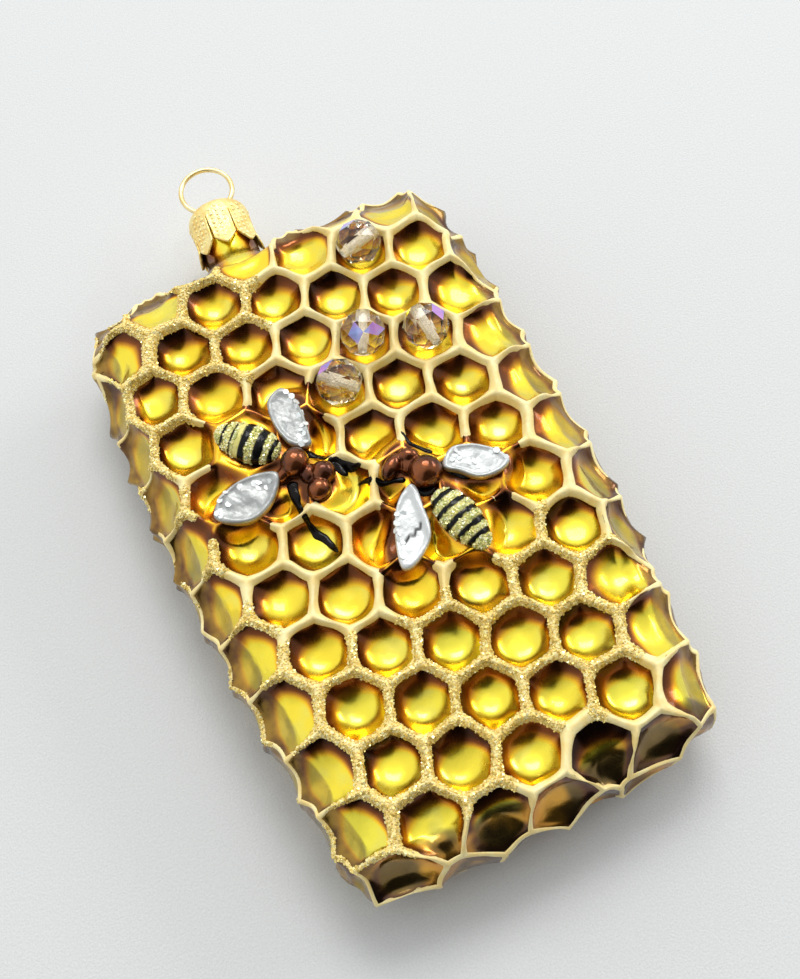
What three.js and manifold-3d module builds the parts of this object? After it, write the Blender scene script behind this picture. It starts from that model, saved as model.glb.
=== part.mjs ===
// A blown-glass hanging ornament shaped as a slab of honeycomb with two bees, lying on its back.
// Millimetres, +Z up out of the shown face, +Y along the slab toward the hanging cap, +X across.
// The origin is on the flat pad in the middle of the back, where the ornament rests.

import * as THREE from "three";
import { ConvexHull } from "three/addons/math/ConvexHull.js";
import { mergeVertices } from "three/addons/utils/BufferGeometryUtils.js";
import Module from "manifold-3d";

const wasm = await Module();
wasm.setup();

// ---- driving dimensions -------------------------------------------------------------------

const slab = {
  width: 74.4, // at the middle of its length
  length: 116, // along its middle line
  thickness: 21,
  widening: 0.03, // growth of the half width for each millimetre toward the cap
  sideBow: 0.0012, // how the long sides draw in away from the middle, per millimetre
  endBow: 0.0025, // the same for the short ends
};
const rim = { shoulderRadius: 4.5, sideSlope: THREE.MathUtils.degToRad(58), sideLength: 6 };
const comb = {
  columns: 6, // of cells tried to each side of the middle
  rows: 8,
  pitch: 10.3, // middle of one cell to the middle of the next
  depth: 3.2,
  rimDepth: 1.7, // the cells round the waist are shallower
  turn: THREE.MathUtils.degToRad(7), // of the cell rows against the slab
  frontShift: new THREE.Vector2(3.8, 0.75), // the middle cell of the face
  backShift: new THREE.Vector2(0, 0), // the middle cell of the back is the resting pad
  jitter: 0.9, // spread of a cell's middle, as the mould was carved by hand
  edgeGap: 7.4, // least distance between the middles of a face cell and a rim cell
};
const neck = {
  x: -3,
  y: 58.4, // of the cap's lower edge
  lean: THREE.MathUtils.degToRad(5),
  radius: 5.1,
  rootRadius: 6.2,
  rootDepth: 11,
  flareDepth: 3.5,
  tipRoom: 1.5, // left inside the cap for the feet of the ring
};
const cap = {
  petals: 8,
  petalPoint: 2,
  petalRadius: 6.3,
  radius: 5.85,
  wall: 0.45,
  length: 10.6,
  shoulder: 1.5,
  slit: 0.4,
  slitLength: 6.5,
};
const ring = { radius: 4.85, wire: 0.42, centre: 16.2, spread: 2, footDepth: 1.3, holeRadius: 0.75 };
// A crystal bead is cut in belts of facets from its waist down to the mouths of its hole.
const bead = {
  radius: 4,
  beltRadius: 3.55,
  belt: 1.8, // along the hole, from the middle
  mouthRadius: 2.2,
  mouth: 3.3,
  end: 3.6,
  holeRadius: 0.55,
  rise: 1.8,
  facets: 10,
};
const beadCells = [
  { name: "2,4", turn: 15 },
  { name: "1,2", turn: 64 },
  { name: "2,2", turn: 93 },
  { name: "0,2", turn: -46 },
];
const bee = {
  thoraxRadius: 2.6,
  thoraxLift: 0.5, // above the swelling of glass that carries the body
  abdomen: new THREE.Vector3(5.8, 2.95, 2.4),
  abdomenReach: 8.6, // middle of the thorax to middle of the abdomen
  lobeRadius: 1.75, // of each half of the head
  lobeLift: 0.4,
  lobeReach: 4.6,
  lobeSpread: 1.5,
  wingHeight: 1.15,
  wingLift: 0.1,
  swellReach: 6.5, // of the swelling, from the middle line of the body
  wingSwellReach: 5.2,
  swellCore: 0.45, // share of its reach over which the swelling is full
  swellRise: 0.4,
  swellFill: 0.75, // how much of a cell the swelling fills
};
// Turns are in degrees from +X toward +Y.
const bees = [
  {
    thorax: new THREE.Vector2(-11.6, 10.4),
    headTurn: -57,
    abdomenTurn: 122,
    wings: [
      { middle: new THREE.Vector2(-8, 18.6), turn: 77, length: 10.6, width: 6.3 },
      { middle: new THREE.Vector2(-20.6, 8.9), turn: 180, length: 11.2, width: 6.8 },
    ],
  },
  {
    thorax: new THREE.Vector2(7.1, 0.5),
    headTurn: 130,
    abdomenTurn: -80,
    wings: [
      { middle: new THREE.Vector2(15.2, -2.5), turn: -20, length: 10.6, width: 5 },
      { middle: new THREE.Vector2(0.1, -6.7), turn: 235, length: 13.2, width: 5.4 },
    ],
  },
];
const colours = { amber: 0xd8a21c, gold: 0xe3b979, wire: 0xe6cf7a, crystal: 0xe9dcd2 };

// ---- the slab's skin ----------------------------------------------------------------------

// The rim turns down in a shoulder, a straight slope and a waist that stands upright at the middle plane.
const shoulderArc = rim.shoulderRadius * rim.sideSlope;
const shoulderOut = rim.shoulderRadius * Math.sin(rim.sideSlope);
const shoulderDrop = rim.shoulderRadius * (1 - Math.cos(rim.sideSlope));
const slopeOut = rim.sideLength * Math.cos(rim.sideSlope);
const slopeDrop = rim.sideLength * Math.sin(rim.sideSlope);
const waistRadius = (slab.thickness / 2 - shoulderDrop - slopeDrop) / Math.cos(rim.sideSlope);
const waistArc = waistRadius * (Math.PI / 2 - rim.sideSlope);
const waistOut = waistRadius * (1 - Math.sin(rim.sideSlope));
const rimLength = shoulderArc + rim.sideLength + waistArc;
const rimOut = shoulderOut + slopeOut + waistOut;

// How far out and down the skin is after a length of rim, and how steep it is there.
function rimProfile(length) {
  if (length > rimLength) {
    const mirrored = rimProfile(2 * rimLength - length);
    return { out: mirrored.out, drop: slab.thickness - mirrored.drop, slope: Math.PI - mirrored.slope };
  }
  if (length <= shoulderArc) {
    const slope = length / rim.shoulderRadius;
    const out = rim.shoulderRadius * Math.sin(slope);
    return { out, drop: rim.shoulderRadius * (1 - Math.cos(slope)), slope };
  }
  const past = length - shoulderArc;
  if (past <= rim.sideLength) {
    const out = shoulderOut + past * Math.cos(rim.sideSlope);
    return { out, drop: shoulderDrop + past * Math.sin(rim.sideSlope), slope: rim.sideSlope };
  }
  const slope = rim.sideSlope + (past - rim.sideLength) / waistRadius;
  const out = rimOut - waistRadius * (1 - Math.sin(slope));
  return { out, drop: slab.thickness / 2 - waistRadius * Math.cos(slope), slope };
}

// The nearest point of the flat part of a face, whose outline is a rectangle with bowed sides.
function faceCore(flat) {
  const rounds = 6; // enough for the point to settle
  const core = flat.clone();
  for (let round = 0; round < rounds; round += 1) {
    const sideTilt = slab.widening - 2 * slab.sideBow * core.y;
    const endTilt = -2 * slab.endBow * core.x;
    const x = flat.x + endTilt * Math.abs(flat.y - core.y);
    const y = flat.y + sideTilt * Math.abs(flat.x - core.x);
    const halfWidth = slab.width / 2 - rimOut + slab.widening * core.y - slab.sideBow * core.y ** 2;
    const halfLength = slab.length / 2 - rimOut - slab.endBow * core.x ** 2;
    core.set(
      THREE.MathUtils.clamp(x, -halfWidth, halfWidth),
      THREE.MathUtils.clamp(y, -halfLength, halfLength),
    );
  }
  return core;
}

// A face is rolled out flat, rim and all: this is the point of the skin for a flat point, sunk by a depth.
function skinPoint(flat, side, depth = 0) {
  const core = faceCore(flat);
  const outward = flat.clone().sub(core);
  const profile = rimProfile(outward.length());
  outward.normalize();
  const out = profile.out - depth * Math.sin(profile.slope);
  const height = slab.thickness / 2 - profile.drop - depth * Math.cos(profile.slope);
  return new THREE.Vector3(core.x + outward.x * out, core.y + outward.y * out, side * height);
}

// The same place of the skin, named on the other face's flat sheet.
function acrossRim(flat) {
  const core = faceCore(flat);
  const outward = flat.clone().sub(core);
  return outward.setLength(2 * rimLength - outward.length()).add(core);
}

// ---- where the cells are ------------------------------------------------------------------

const randomFactor = 16807;
const randomRange = 2147483647;
let randomState = 11;
function random() {
  randomState = (randomState * randomFactor) % randomRange;
  return randomState / randomRange;
}

// One rim cell after another along the middle plane, a pitch apart. They belong to both faces.
function makeRimCells() {
  const steps = 720;
  const outline = [];
  for (let step = 0; step < steps; step += 1) {
    const angle = (step / steps) * Math.PI * 2;
    const far = new THREE.Vector2(Math.cos(angle) * slab.length, Math.sin(angle) * slab.length);
    const core = faceCore(far);
    outline.push(far.sub(core).setLength(rimLength).add(core));
  }
  const points = outline.map((flat) => skinPoint(flat, 1));
  const lengths = points.map((point, step) => point.distanceTo(points[(step + 1) % steps]));
  const total = lengths.reduce((sum, length) => sum + length, 0);
  const count = Math.round(total / comb.pitch);
  const cells = [];
  let walked = 0;
  for (let step = 0; step < steps; step += 1) {
    if (walked >= (cells.length / count) * total) {
      cells.push({ name: "rim", side: 0, flat: outline[step], point: points[step], corners: [] });
    }
    walked += lengths[step];
  }
  return cells;
}

// A face's own cells: rows of a regular comb, each cell a little out of place.
function makeFaceCells(side, shift, rimCells) {
  const columnStep = comb.pitch * Math.sin(Math.PI / 3);
  const cells = [];
  for (let column = -comb.columns; column <= comb.columns; column += 1) {
    const stagger = column % 2 === 0 ? 0 : 0.5;
    for (let row = -comb.rows; row < comb.rows; row += 1) {
      const flat = new THREE.Vector2(column * columnStep, (row + stagger) * comb.pitch);
      flat.rotateAround(new THREE.Vector2(), comb.turn).add(shift);
      flat.x += (random() - 0.5) * comb.jitter;
      flat.y += (random() - 0.5) * comb.jitter;
      if (flat.distanceTo(faceCore(flat)) > rimLength) continue;
      const point = skinPoint(flat, side);
      const clear = rimCells.every((other) => other.point.distanceTo(point) > comb.edgeGap);
      if (clear) cells.push({ name: `${column},${row}`, side, flat, point, corners: [] });
    }
  }
  return cells;
}

const rimCells = makeRimCells();
const frontCells = makeFaceCells(1, comb.frontShift, rimCells);
const backCells = makeFaceCells(-1, comb.backShift, rimCells);

// ---- how the bees swell the face ----------------------------------------------------------

function turned(length, degrees) {
  const angle = THREE.MathUtils.degToRad(degrees);
  return new THREE.Vector2(length * Math.cos(angle), length * Math.sin(angle));
}

function distanceToLine(point, start, end) {
  const line = end.clone().sub(start);
  const share = THREE.MathUtils.clamp(point.clone().sub(start).dot(line) / line.lengthSq(), 0, 1);
  return point.distanceTo(line.multiplyScalar(share).add(start));
}

// 1 under a bee's body and wings, falling to 0 at the end of the swelling.
function swelling(flat) {
  const shares = bees.flatMap((one) => {
    const tail = one.thorax.clone().add(turned(bee.abdomenReach + bee.abdomen.x / 2, one.abdomenTurn));
    const face = one.thorax.clone().add(turned(bee.lobeReach, one.headTurn));
    const limbs = [
      distanceToLine(flat, one.thorax, tail) / bee.swellReach,
      distanceToLine(flat, one.thorax, face) / bee.swellReach,
    ];
    one.wings.forEach((wing) => {
      const tip = wing.middle.clone().add(turned(wing.length / 4, wing.turn));
      limbs.push(distanceToLine(flat, one.thorax, tip) / bee.wingSwellReach);
    });
    return limbs;
  });
  return 1 - THREE.MathUtils.smoothstep(Math.min(...shares), bee.swellCore, 1);
}

// How far below the skin the glass is, for a depth that a cell has clear of the bees.
function sunk(flat, side, depth) {
  const swell = side === 1 ? swelling(flat) : 0;
  return depth * (1 - bee.swellFill * swell) - bee.swellRise * swell;
}

// ---- ridges between the cells -------------------------------------------------------------

function averagePlace(places) {
  const sum = new THREE.Vector2();
  places.forEach((place) => sum.add(place));
  return sum.divideScalar(places.length);
}

// The flat place that is equally far, over the skin, from the middles of three cells, eased toward
// the middle of the three so that a ridge between four cells keeps some length.
function meetingPlace(cells, side) {
  const rounds = 30;
  const stride = 0.4;
  const ease = 0.2;
  const average = averagePlace(cells.map((cell) => cell.flat));
  const place = average.clone();
  for (let round = 0; round < rounds; round += 1) {
    const here = skinPoint(place, side);
    const reaches = cells.map((cell) => cell.point.distanceTo(here));
    const mean = (reaches[0] + reaches[1] + reaches[2]) / 3;
    const step = new THREE.Vector2();
    cells.forEach((cell, k) => {
      const toward = cell.flat.clone().sub(place).normalize();
      step.addScaledVector(toward, stride * (reaches[k] - mean));
    });
    place.add(step);
  }
  return place.lerp(average, ease);
}

// Delaunay triangles of a face's cells: the underside of the hull of their middles lifted onto a bowl.
function neighbourTriples(cells) {
  const bowl = 100;
  const level = -1e-6; // a face of the hull steeper than this is on its rim
  const lifted = new Map();
  cells.forEach((cell) => {
    lifted.set(new THREE.Vector3(cell.flat.x, cell.flat.y, cell.flat.lengthSq() / bowl), cell);
  });
  const hull = new ConvexHull().setFromPoints([...lifted.keys()]);
  const undersides = hull.faces.filter((face) => face.normal.z < level);
  return undersides.map((face) => {
    const edges = [face.edge, face.edge.next, face.edge.prev];
    return edges.map((edge) => lifted.get(edge.head().point));
  });
}

const vertices = [];
const faces = [];

function addVertex(point) {
  vertices.push(point);
  return vertices.length - 1;
}

function addCorners(cells, side) {
  neighbourTriples(cells).forEach((triple) => {
    const flat = meetingPlace(triple, side);
    const vertex = addVertex(skinPoint(flat, side, sunk(flat, side, 0)));
    triple.forEach((cell) => {
      const toward = averagePlace(triple.map((one) => one.flat)).sub(cell.flat);
      if (cell.side === 0 && side === -1) {
        const outward = cell.flat.clone().sub(faceCore(cell.flat)).normalize();
        toward.addScaledVector(outward, -2 * toward.dot(outward));
        cell.corners.push({ vertex, flat: acrossRim(flat), turn: toward.angle() });
      } else {
        cell.corners.push({ vertex, flat, turn: toward.angle() });
      }
    });
  });
}

addCorners([...rimCells, ...frontCells], 1);
addCorners([...rimCells, ...backCells], -1);

// ---- cells --------------------------------------------------------------------------------

// Rings from the ridge to the middle of a cell: how far in, and how deep, as shares of the whole.
const shapedRings = [
  { inward: 0.17, depth: 0.3, round: 0.3 },
  { inward: 0.4, depth: 0.9, round: 0.8 },
];
const rimRings = [
  { inward: 0.22, depth: 0.3, round: 0.3 },
  { inward: 0.52, depth: 0.92, round: 0.7 },
];
const plainRings = [{ inward: 0.36, depth: 0.9, round: 0.5 }];
const ridgeMiddles = new Map();

const padCell = "0,0"; // of the back, left unsunk to rest on

// The middle of the ridge between two corners, shared by the two cells beside it.
function ridgeMiddle(first, second, side) {
  const key = [first.vertex, second.vertex].sort((a, b) => a - b).join();
  if (!ridgeMiddles.has(key)) {
    if (side === -1) return null;
    const flat = first.flat.clone().lerp(second.flat, 0.5);
    ridgeMiddles.set(key, addVertex(skinPoint(flat, 1, sunk(flat, 1, 0))));
  }
  return ridgeMiddles.get(key);
}

// A cell's corners in turn. A back cell has ridge middles only where it meets a rim cell.
function outlineOf(cell) {
  const corners = [...cell.corners].sort((a, b) => a.turn - b.turn);
  return corners.flatMap((corner, k) => {
    const next = corners[(k + 1) % corners.length];
    const vertex = ridgeMiddle(corner, next, cell.side);
    return vertex === null ? [corner] : [corner, { vertex, flat: corner.flat.clone().lerp(next.flat, 0.5) }];
  });
}

function ringVertices(cell, outline, ring, fullDepth) {
  const reaches = outline.map((corner) => corner.flat.distanceTo(cell.flat));
  const mean = reaches.reduce((sum, reach) => sum + reach, 0) / reaches.length;
  return outline.map((corner, k) => {
    const reach = (1 - ring.inward) * THREE.MathUtils.lerp(reaches[k], mean, ring.round);
    const flat = corner.flat.clone().sub(cell.flat).setLength(reach).add(cell.flat);
    return cellVertex(flat, cell, ring.depth * fullDepth);
  });
}

function cellVertex(flat, cell, depth) {
  const side = cell.side === -1 ? -1 : 1;
  return addVertex(skinPoint(flat, side, sunk(flat, side, depth)));
}

function depthOf(cell) {
  if (cell.side === 0) return comb.rimDepth;
  return cell.side === -1 && cell.name === padCell ? 0 : comb.depth;
}

function addFace(a, b, c, side) {
  faces.push(side === -1 ? [a, c, b] : [a, b, c]);
}

function addCell(cell, rings) {
  const fullDepth = depthOf(cell);
  const outline = outlineOf(cell);
  let outer = outline.map((corner) => corner.vertex);
  rings.forEach((ring) => {
    const inner = ringVertices(cell, outline, ring, fullDepth);
    outer.forEach((vertex, k) => {
      const next = (k + 1) % outer.length;
      addFace(vertex, outer[next], inner[k], cell.side);
      addFace(outer[next], inner[next], inner[k], cell.side);
    });
    outer = inner;
  });
  const middle = cellVertex(cell.flat, cell, fullDepth);
  outer.forEach((vertex, k) => addFace(vertex, outer[(k + 1) % outer.length], middle, cell.side));
}

frontCells.forEach((cell) => addCell(cell, shapedRings));
rimCells.forEach((cell) => addCell(cell, rimRings));
backCells.forEach((cell) => addCell(cell, plainRings));

// ---- solids -------------------------------------------------------------------------------

function toSolid(geometry) {
  const bare = geometry.clone();
  bare.deleteAttribute("normal");
  bare.deleteAttribute("uv");
  const merged = mergeVertices(bare, 1e-4);
  const vertProperties = new Float32Array(merged.attributes.position.array);
  const triVerts = new Uint32Array(merged.index.array);
  return new wasm.Manifold(new wasm.Mesh({ numProp: 3, vertProperties, triVerts }));
}

function toGeometry(solid) {
  const mesh = solid.getMesh();
  const geometry = new THREE.BufferGeometry();
  geometry.setAttribute("position", new THREE.BufferAttribute(new Float32Array(mesh.vertProperties), 3));
  geometry.setIndex(new THREE.BufferAttribute(new Uint32Array(mesh.triVerts), 1));
  return geometry;
}

function lathe(profile, segments) {
  return new THREE.LatheGeometry(profile.map(([x, y]) => new THREE.Vector2(x, y)), segments);
}

// An egg-like lump of glass, lying along a direction of the face.
function lump(middle, height, radii, turn, across = 10, along = 6) {
  const geometry = new THREE.SphereGeometry(1, across, along);
  geometry.rotateZ(-Math.PI / 2);
  geometry.scale(radii.x, radii.y, radii.z);
  geometry.rotateZ(THREE.MathUtils.degToRad(turn));
  geometry.translate(middle.x, middle.y, slab.thickness / 2 + height);
  return toSolid(geometry);
}

function makeSlab() {
  const geometry = new THREE.BufferGeometry();
  const positions = vertices.flatMap((vertex) => vertex.toArray());
  geometry.setAttribute("position", new THREE.Float32BufferAttribute(positions, 3));
  geometry.setIndex(faces.flat());
  return toSolid(geometry);
}

function makeBee(one) {
  const abdomenMiddle = one.thorax.clone().add(turned(bee.abdomenReach, one.abdomenTurn));
  const face = one.thorax.clone().add(turned(bee.lobeReach, one.headTurn));
  const thoraxRadii = new THREE.Vector3(bee.thoraxRadius, bee.thoraxRadius, bee.thoraxRadius);
  const lobeRadii = new THREE.Vector3(bee.lobeRadius, bee.lobeRadius, bee.lobeRadius);
  const lumps = [
    lump(abdomenMiddle, bee.swellRise, bee.abdomen, one.abdomenTurn, 12, 8),
    lump(one.thorax, bee.swellRise + bee.thoraxLift, thoraxRadii, one.headTurn),
  ];
  [-1, 1].forEach((hand) => {
    const middle = face.clone().add(turned(hand * bee.lobeSpread, one.headTurn + 90));
    lumps.push(lump(middle, bee.swellRise + bee.lobeLift, lobeRadii, one.headTurn, 8, 6));
  });
  one.wings.forEach((wing) => {
    const radii = new THREE.Vector3(wing.length / 2, wing.width / 2, bee.wingHeight);
    lumps.push(lump(wing.middle, bee.swellRise + bee.wingLift, radii, wing.turn));
  });
  return lumps;
}

// The neck stands on +Y through the cap's rim, which is at zero.
function makeNeck() {
  const segments = 24;
  const tip = cap.length - cap.wall - neck.tipRoom;
  const profile = [
    [0, -neck.rootDepth],
    [neck.rootRadius, -neck.rootDepth],
    [neck.rootRadius, -neck.flareDepth],
    [neck.radius, 0],
    [neck.radius, tip - cap.shoulder],
    [neck.radius - cap.shoulder, tip],
    [0, tip],
  ];
  return toSolid(lathe(profile, segments));
}

// ---- the hanging cap and ring, on the neck's axis -----------------------------------------

function makeCap() {
  const petalSegments = 5;
  const holeSegments = 12;
  const inner = cap.radius - cap.wall;
  const profile = [
    [0, cap.length - cap.wall],
    [inner - cap.shoulder, cap.length - cap.wall],
    [inner, cap.length - cap.wall - cap.shoulder],
    [inner, cap.petalPoint],
    [cap.petalRadius - cap.wall, 0],
    [cap.petalRadius, 0],
    [cap.radius, cap.petalPoint],
    [cap.radius, cap.length - cap.shoulder],
    [cap.radius - cap.shoulder, cap.length],
    [0, cap.length],
  ];
  let shell = toSolid(lathe(profile, cap.petals * petalSegments));
  for (let petal = 0; petal < cap.petals; petal += 1) {
    const notch = new THREE.ExtrudeGeometry(notchShape(), { depth: cap.petalRadius, bevelEnabled: false });
    notch.rotateY((petal / cap.petals) * Math.PI * 2);
    shell = shell.subtract(toSolid(notch));
  }
  [-1, 1].forEach((hand) => {
    const hole = new THREE.CylinderGeometry(ring.holeRadius, ring.holeRadius, cap.length, holeSegments);
    hole.translate(hand * ring.spread, cap.length, 0);
    shell = shell.subtract(toSolid(hole));
  });
  return toGeometry(shell);
}

// Between two petals: a narrow slit that opens to a wide V at their points.
function notchShape() {
  const half = cap.slit / 2;
  const petalHalf = (Math.PI * cap.petalRadius) / cap.petals;
  const mouth = petalHalf * 0.96; // each petal keeps a small blunt tip
  const below = -0.5;
  return new THREE.Shape([
    new THREE.Vector2(-petalHalf, below),
    new THREE.Vector2(petalHalf, below),
    new THREE.Vector2(mouth, 0),
    new THREE.Vector2(half, cap.petalPoint),
    new THREE.Vector2(half, cap.slitLength),
    new THREE.Vector2(-half, cap.slitLength),
    new THREE.Vector2(-half, cap.petalPoint),
    new THREE.Vector2(-mouth, 0),
  ]);
}

// A wire loop: up out of one hole, once round, and down into the other.
function makeRing() {
  const footAngle = Math.asin(ring.spread / ring.radius);
  const footY = ring.centre - ring.radius * Math.cos(footAngle);
  const arcSteps = 40;
  const pathSteps = 44;
  const wireSides = 8;
  const points = [new THREE.Vector3(-ring.spread, cap.length - ring.footDepth, 0)];
  for (let step = 0; step <= arcSteps; step += 1) {
    const angle = -Math.PI / 2 - footAngle - (step / arcSteps) * 2 * (Math.PI - footAngle);
    const x = ring.radius * Math.cos(angle);
    points.push(new THREE.Vector3(x, ring.centre + ring.radius * Math.sin(angle), 0));
  }
  points.push(new THREE.Vector3(ring.spread, cap.length - ring.footDepth, 0));
  const path = new THREE.CatmullRomCurve3(points, false, "centripetal");
  const section = new THREE.Shape();
  section.absarc(0, 0, ring.wire, 0, Math.PI * 2);
  const options = { extrudePath: path, steps: pathSteps, curveSegments: wireSides / 2, bevelEnabled: false };
  return toGeometry(toSolid(new THREE.ExtrudeGeometry(section, options)));
}

// ---- faceted beads ------------------------------------------------------------------------

function makeBead() {
  const profile = [
    [bead.holeRadius, -bead.end],
    [bead.mouthRadius, -bead.mouth],
    [bead.beltRadius, -bead.belt],
    [bead.radius, 0],
    [bead.beltRadius, bead.belt],
    [bead.mouthRadius, bead.mouth],
    [bead.holeRadius, bead.end],
    [bead.holeRadius, -bead.end],
  ];
  return lathe(profile, bead.facets);
}

// ---- the whole ----------------------------------------------------------------------------

function material(color, roughness, metalness) {
  return new THREE.MeshStandardMaterial({ color, roughness, metalness });
}

function piece(name, geometry, look) {
  const mesh = new THREE.Mesh(geometry, look);
  mesh.name = name;
  return mesh;
}

const ornament = new THREE.Group();
ornament.position.z = slab.thickness / 2;

const neckFrame = new THREE.Matrix4().makeRotationZ(-neck.lean).setPosition(neck.x, neck.y, 0);
const neckSolid = toSolid(toGeometry(makeNeck()).applyMatrix4(neckFrame));
const glass = [neckSolid, ...bees.flatMap(makeBee)].reduce((whole, more) => whole.add(more), makeSlab());
ornament.add(piece("glass_comb", toGeometry(glass), material(colours.amber, 0.15, 0.9)));

const hanger = new THREE.Group();
hanger.applyMatrix4(neckFrame);
hanger.add(piece("cap", makeCap(), material(colours.gold, 0.45, 0.9)));
hanger.add(piece("hanging_ring", makeRing(), material(colours.wire, 0.25, 1)));
ornament.add(hanger);

beadCells.forEach((place, k) => {
  const cell = frontCells.find((one) => one.name === place.name);
  const mesh = piece(`bead_${k + 1}`, makeBead(), material(colours.crystal, 0.05, 0));
  mesh.position.set(cell.flat.x, cell.flat.y, slab.thickness / 2 + bead.rise);
  mesh.rotation.z = THREE.MathUtils.degToRad(place.turn - 90);
  ornament.add(mesh);
});

export default ornament;
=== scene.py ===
import math
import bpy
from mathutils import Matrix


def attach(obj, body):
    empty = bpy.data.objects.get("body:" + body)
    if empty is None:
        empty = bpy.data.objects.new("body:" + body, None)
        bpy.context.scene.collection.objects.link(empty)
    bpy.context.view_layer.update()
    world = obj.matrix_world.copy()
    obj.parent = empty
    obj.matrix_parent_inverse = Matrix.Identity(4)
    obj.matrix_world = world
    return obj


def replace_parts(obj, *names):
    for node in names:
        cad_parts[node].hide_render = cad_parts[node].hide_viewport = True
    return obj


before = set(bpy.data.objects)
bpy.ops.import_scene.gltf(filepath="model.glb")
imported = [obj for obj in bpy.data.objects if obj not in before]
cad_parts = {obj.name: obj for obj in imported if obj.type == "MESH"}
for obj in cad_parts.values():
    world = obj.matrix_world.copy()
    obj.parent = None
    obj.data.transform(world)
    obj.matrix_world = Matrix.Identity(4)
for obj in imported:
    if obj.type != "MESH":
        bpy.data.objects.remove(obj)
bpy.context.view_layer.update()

from types import SimpleNamespace

import bpy
import numpy as np
from mathutils import Vector, geometry
from mathutils.bvhtree import BVHTree

# ---- The glass comb -----------------------------------------------------------------------
# One bubble of glass blown into a carved mould, so a slab of honeycomb cells runs over both
# faces and round the rim. It is silvered inside and lacquered amber outside.

MM = 0.001  # sizes are in millimetres until a mesh is made
THICK, WIDTH, LENGTH = 21.0, 74.4, 116.0
WIDENING, SIDE_BOW, END_BOW = 0.03, 0.0012, 0.0025
SHOULDER, SIDE_SLOPE, SIDE_RUN = 4.5, math.radians(58), 6.0
PITCH, COMB_TURN, JITTER, EDGE_GAP = 10.3, math.radians(7), 0.9, 7.4
# A cell's side is 1 on the front, 0 on the rim and -1 on the back. Flat points lie on a sheet:
# 1 is the front and -1 the back, each rolled out as far as the other one's edge.
CELL_DEPTH, BACK_ROOM = {1: 3.3, 0: 2.2, -1: 2.6}, 0.45
COMB_SHIFT = {1: np.array([3.8, 0.75]), -1: np.zeros(2)}

SHOULDER_RUN = SHOULDER * SIDE_SLOPE
SHOULDER_OUT, SHOULDER_DROP = SHOULDER * math.sin(SIDE_SLOPE), SHOULDER * (1 - math.cos(SIDE_SLOPE))
SLOPE_OUT = SHOULDER_OUT + SIDE_RUN * math.cos(SIDE_SLOPE)
SLOPE_DROP = SHOULDER_DROP + SIDE_RUN * math.sin(SIDE_SLOPE)
WAIST = (THICK / 2 - SLOPE_DROP) / math.cos(SIDE_SLOPE)
RIM_RUN = SHOULDER_RUN + SIDE_RUN + WAIST * (math.pi / 2 - SIDE_SLOPE)
RIM_OUT = SLOPE_OUT + WAIST * (1 - math.sin(SIDE_SLOPE))


def rim_profile(run):
    """How far out and down the skin is after a run over the rim, and how steep it is there."""
    over = run > RIM_RUN
    near = np.where(over, 2 * RIM_RUN - run, run)
    past = near - SHOULDER_RUN
    parts = [past <= 0, past <= SIDE_RUN]
    slope = np.select(parts, [near / SHOULDER, SIDE_SLOPE], SIDE_SLOPE + (past - SIDE_RUN) / WAIST)
    outs = [SHOULDER * np.sin(slope), SHOULDER_OUT + past * math.cos(SIDE_SLOPE)]
    out = np.select(parts, outs, RIM_OUT - WAIST * (1 - np.sin(slope)))
    drops = [SHOULDER * (1 - np.cos(slope)), SHOULDER_DROP + past * math.sin(SIDE_SLOPE)]
    drop = np.select(parts, drops, THICK / 2 - WAIST * np.cos(slope))
    return out, np.where(over, THICK - drop, drop), np.where(over, math.pi - slope, slope)


def face_core(flat):
    """The nearest point of the flat part of a face, a rectangle with bowed sides."""
    core = flat.copy()
    for _ in range(6):
        side_tilt = WIDENING - 2 * SIDE_BOW * core[:, 1]
        end_tilt = -2 * END_BOW * core[:, 0]
        x = flat[:, 0] + end_tilt * np.abs(flat[:, 1] - core[:, 1])
        y = flat[:, 1] + side_tilt * np.abs(flat[:, 0] - core[:, 0])
        half_width = WIDTH / 2 - RIM_OUT + WIDENING * core[:, 1] - SIDE_BOW * core[:, 1] ** 2
        half_length = LENGTH / 2 - RIM_OUT - END_BOW * core[:, 0] ** 2
        core = np.column_stack([np.clip(x, -half_width, half_width), np.clip(y, -half_length, half_length)])
    return core


def outward(flat):
    """The nearest point of the flat part, the way out from it and how far out a flat point lies."""
    core = face_core(flat)
    run = np.hypot(*(flat - core).T)
    return core, (flat - core) / np.maximum(run, 1e-9)[:, None], run


def rim_at(flat):
    """The way out to the rim, and how upright the skin is: 0 on a face and 1 at the waist."""
    _, away, run = outward(flat)
    return away, np.sin(rim_profile(run)[2])


def skin(flat, side, depth=0.0):
    """The point of the slab's skin for a point of a face rolled out flat, sunk by a depth."""
    core, away, run = outward(flat)
    out, drop, slope = rim_profile(run)
    reach = out - depth * np.sin(slope)
    height = THICK / 2 - drop - depth * np.cos(slope)
    return np.column_stack([core + away * reach[:, None], THICK / 2 + side * height])


def across_rim(flat):
    """The same place of the skin, named on the other face's flat sheet."""
    core, away, run = outward(flat)
    return core + away * (2 * RIM_RUN - run)[:, None]


def mould_draws():
    """The small misplacements of the hand-carved cells, always the same ones."""
    state = 11
    while True:
        state = state * 16807 % 2147483647
        yield state / 2147483647


def turned(x, y, angle):
    return x * math.cos(angle) - y * math.sin(angle), x * math.sin(angle) + y * math.cos(angle)


def new_cell(name, side, flat, point):
    return SimpleNamespace(name=name, side=side, flat=flat, point=point, corners=[])


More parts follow.
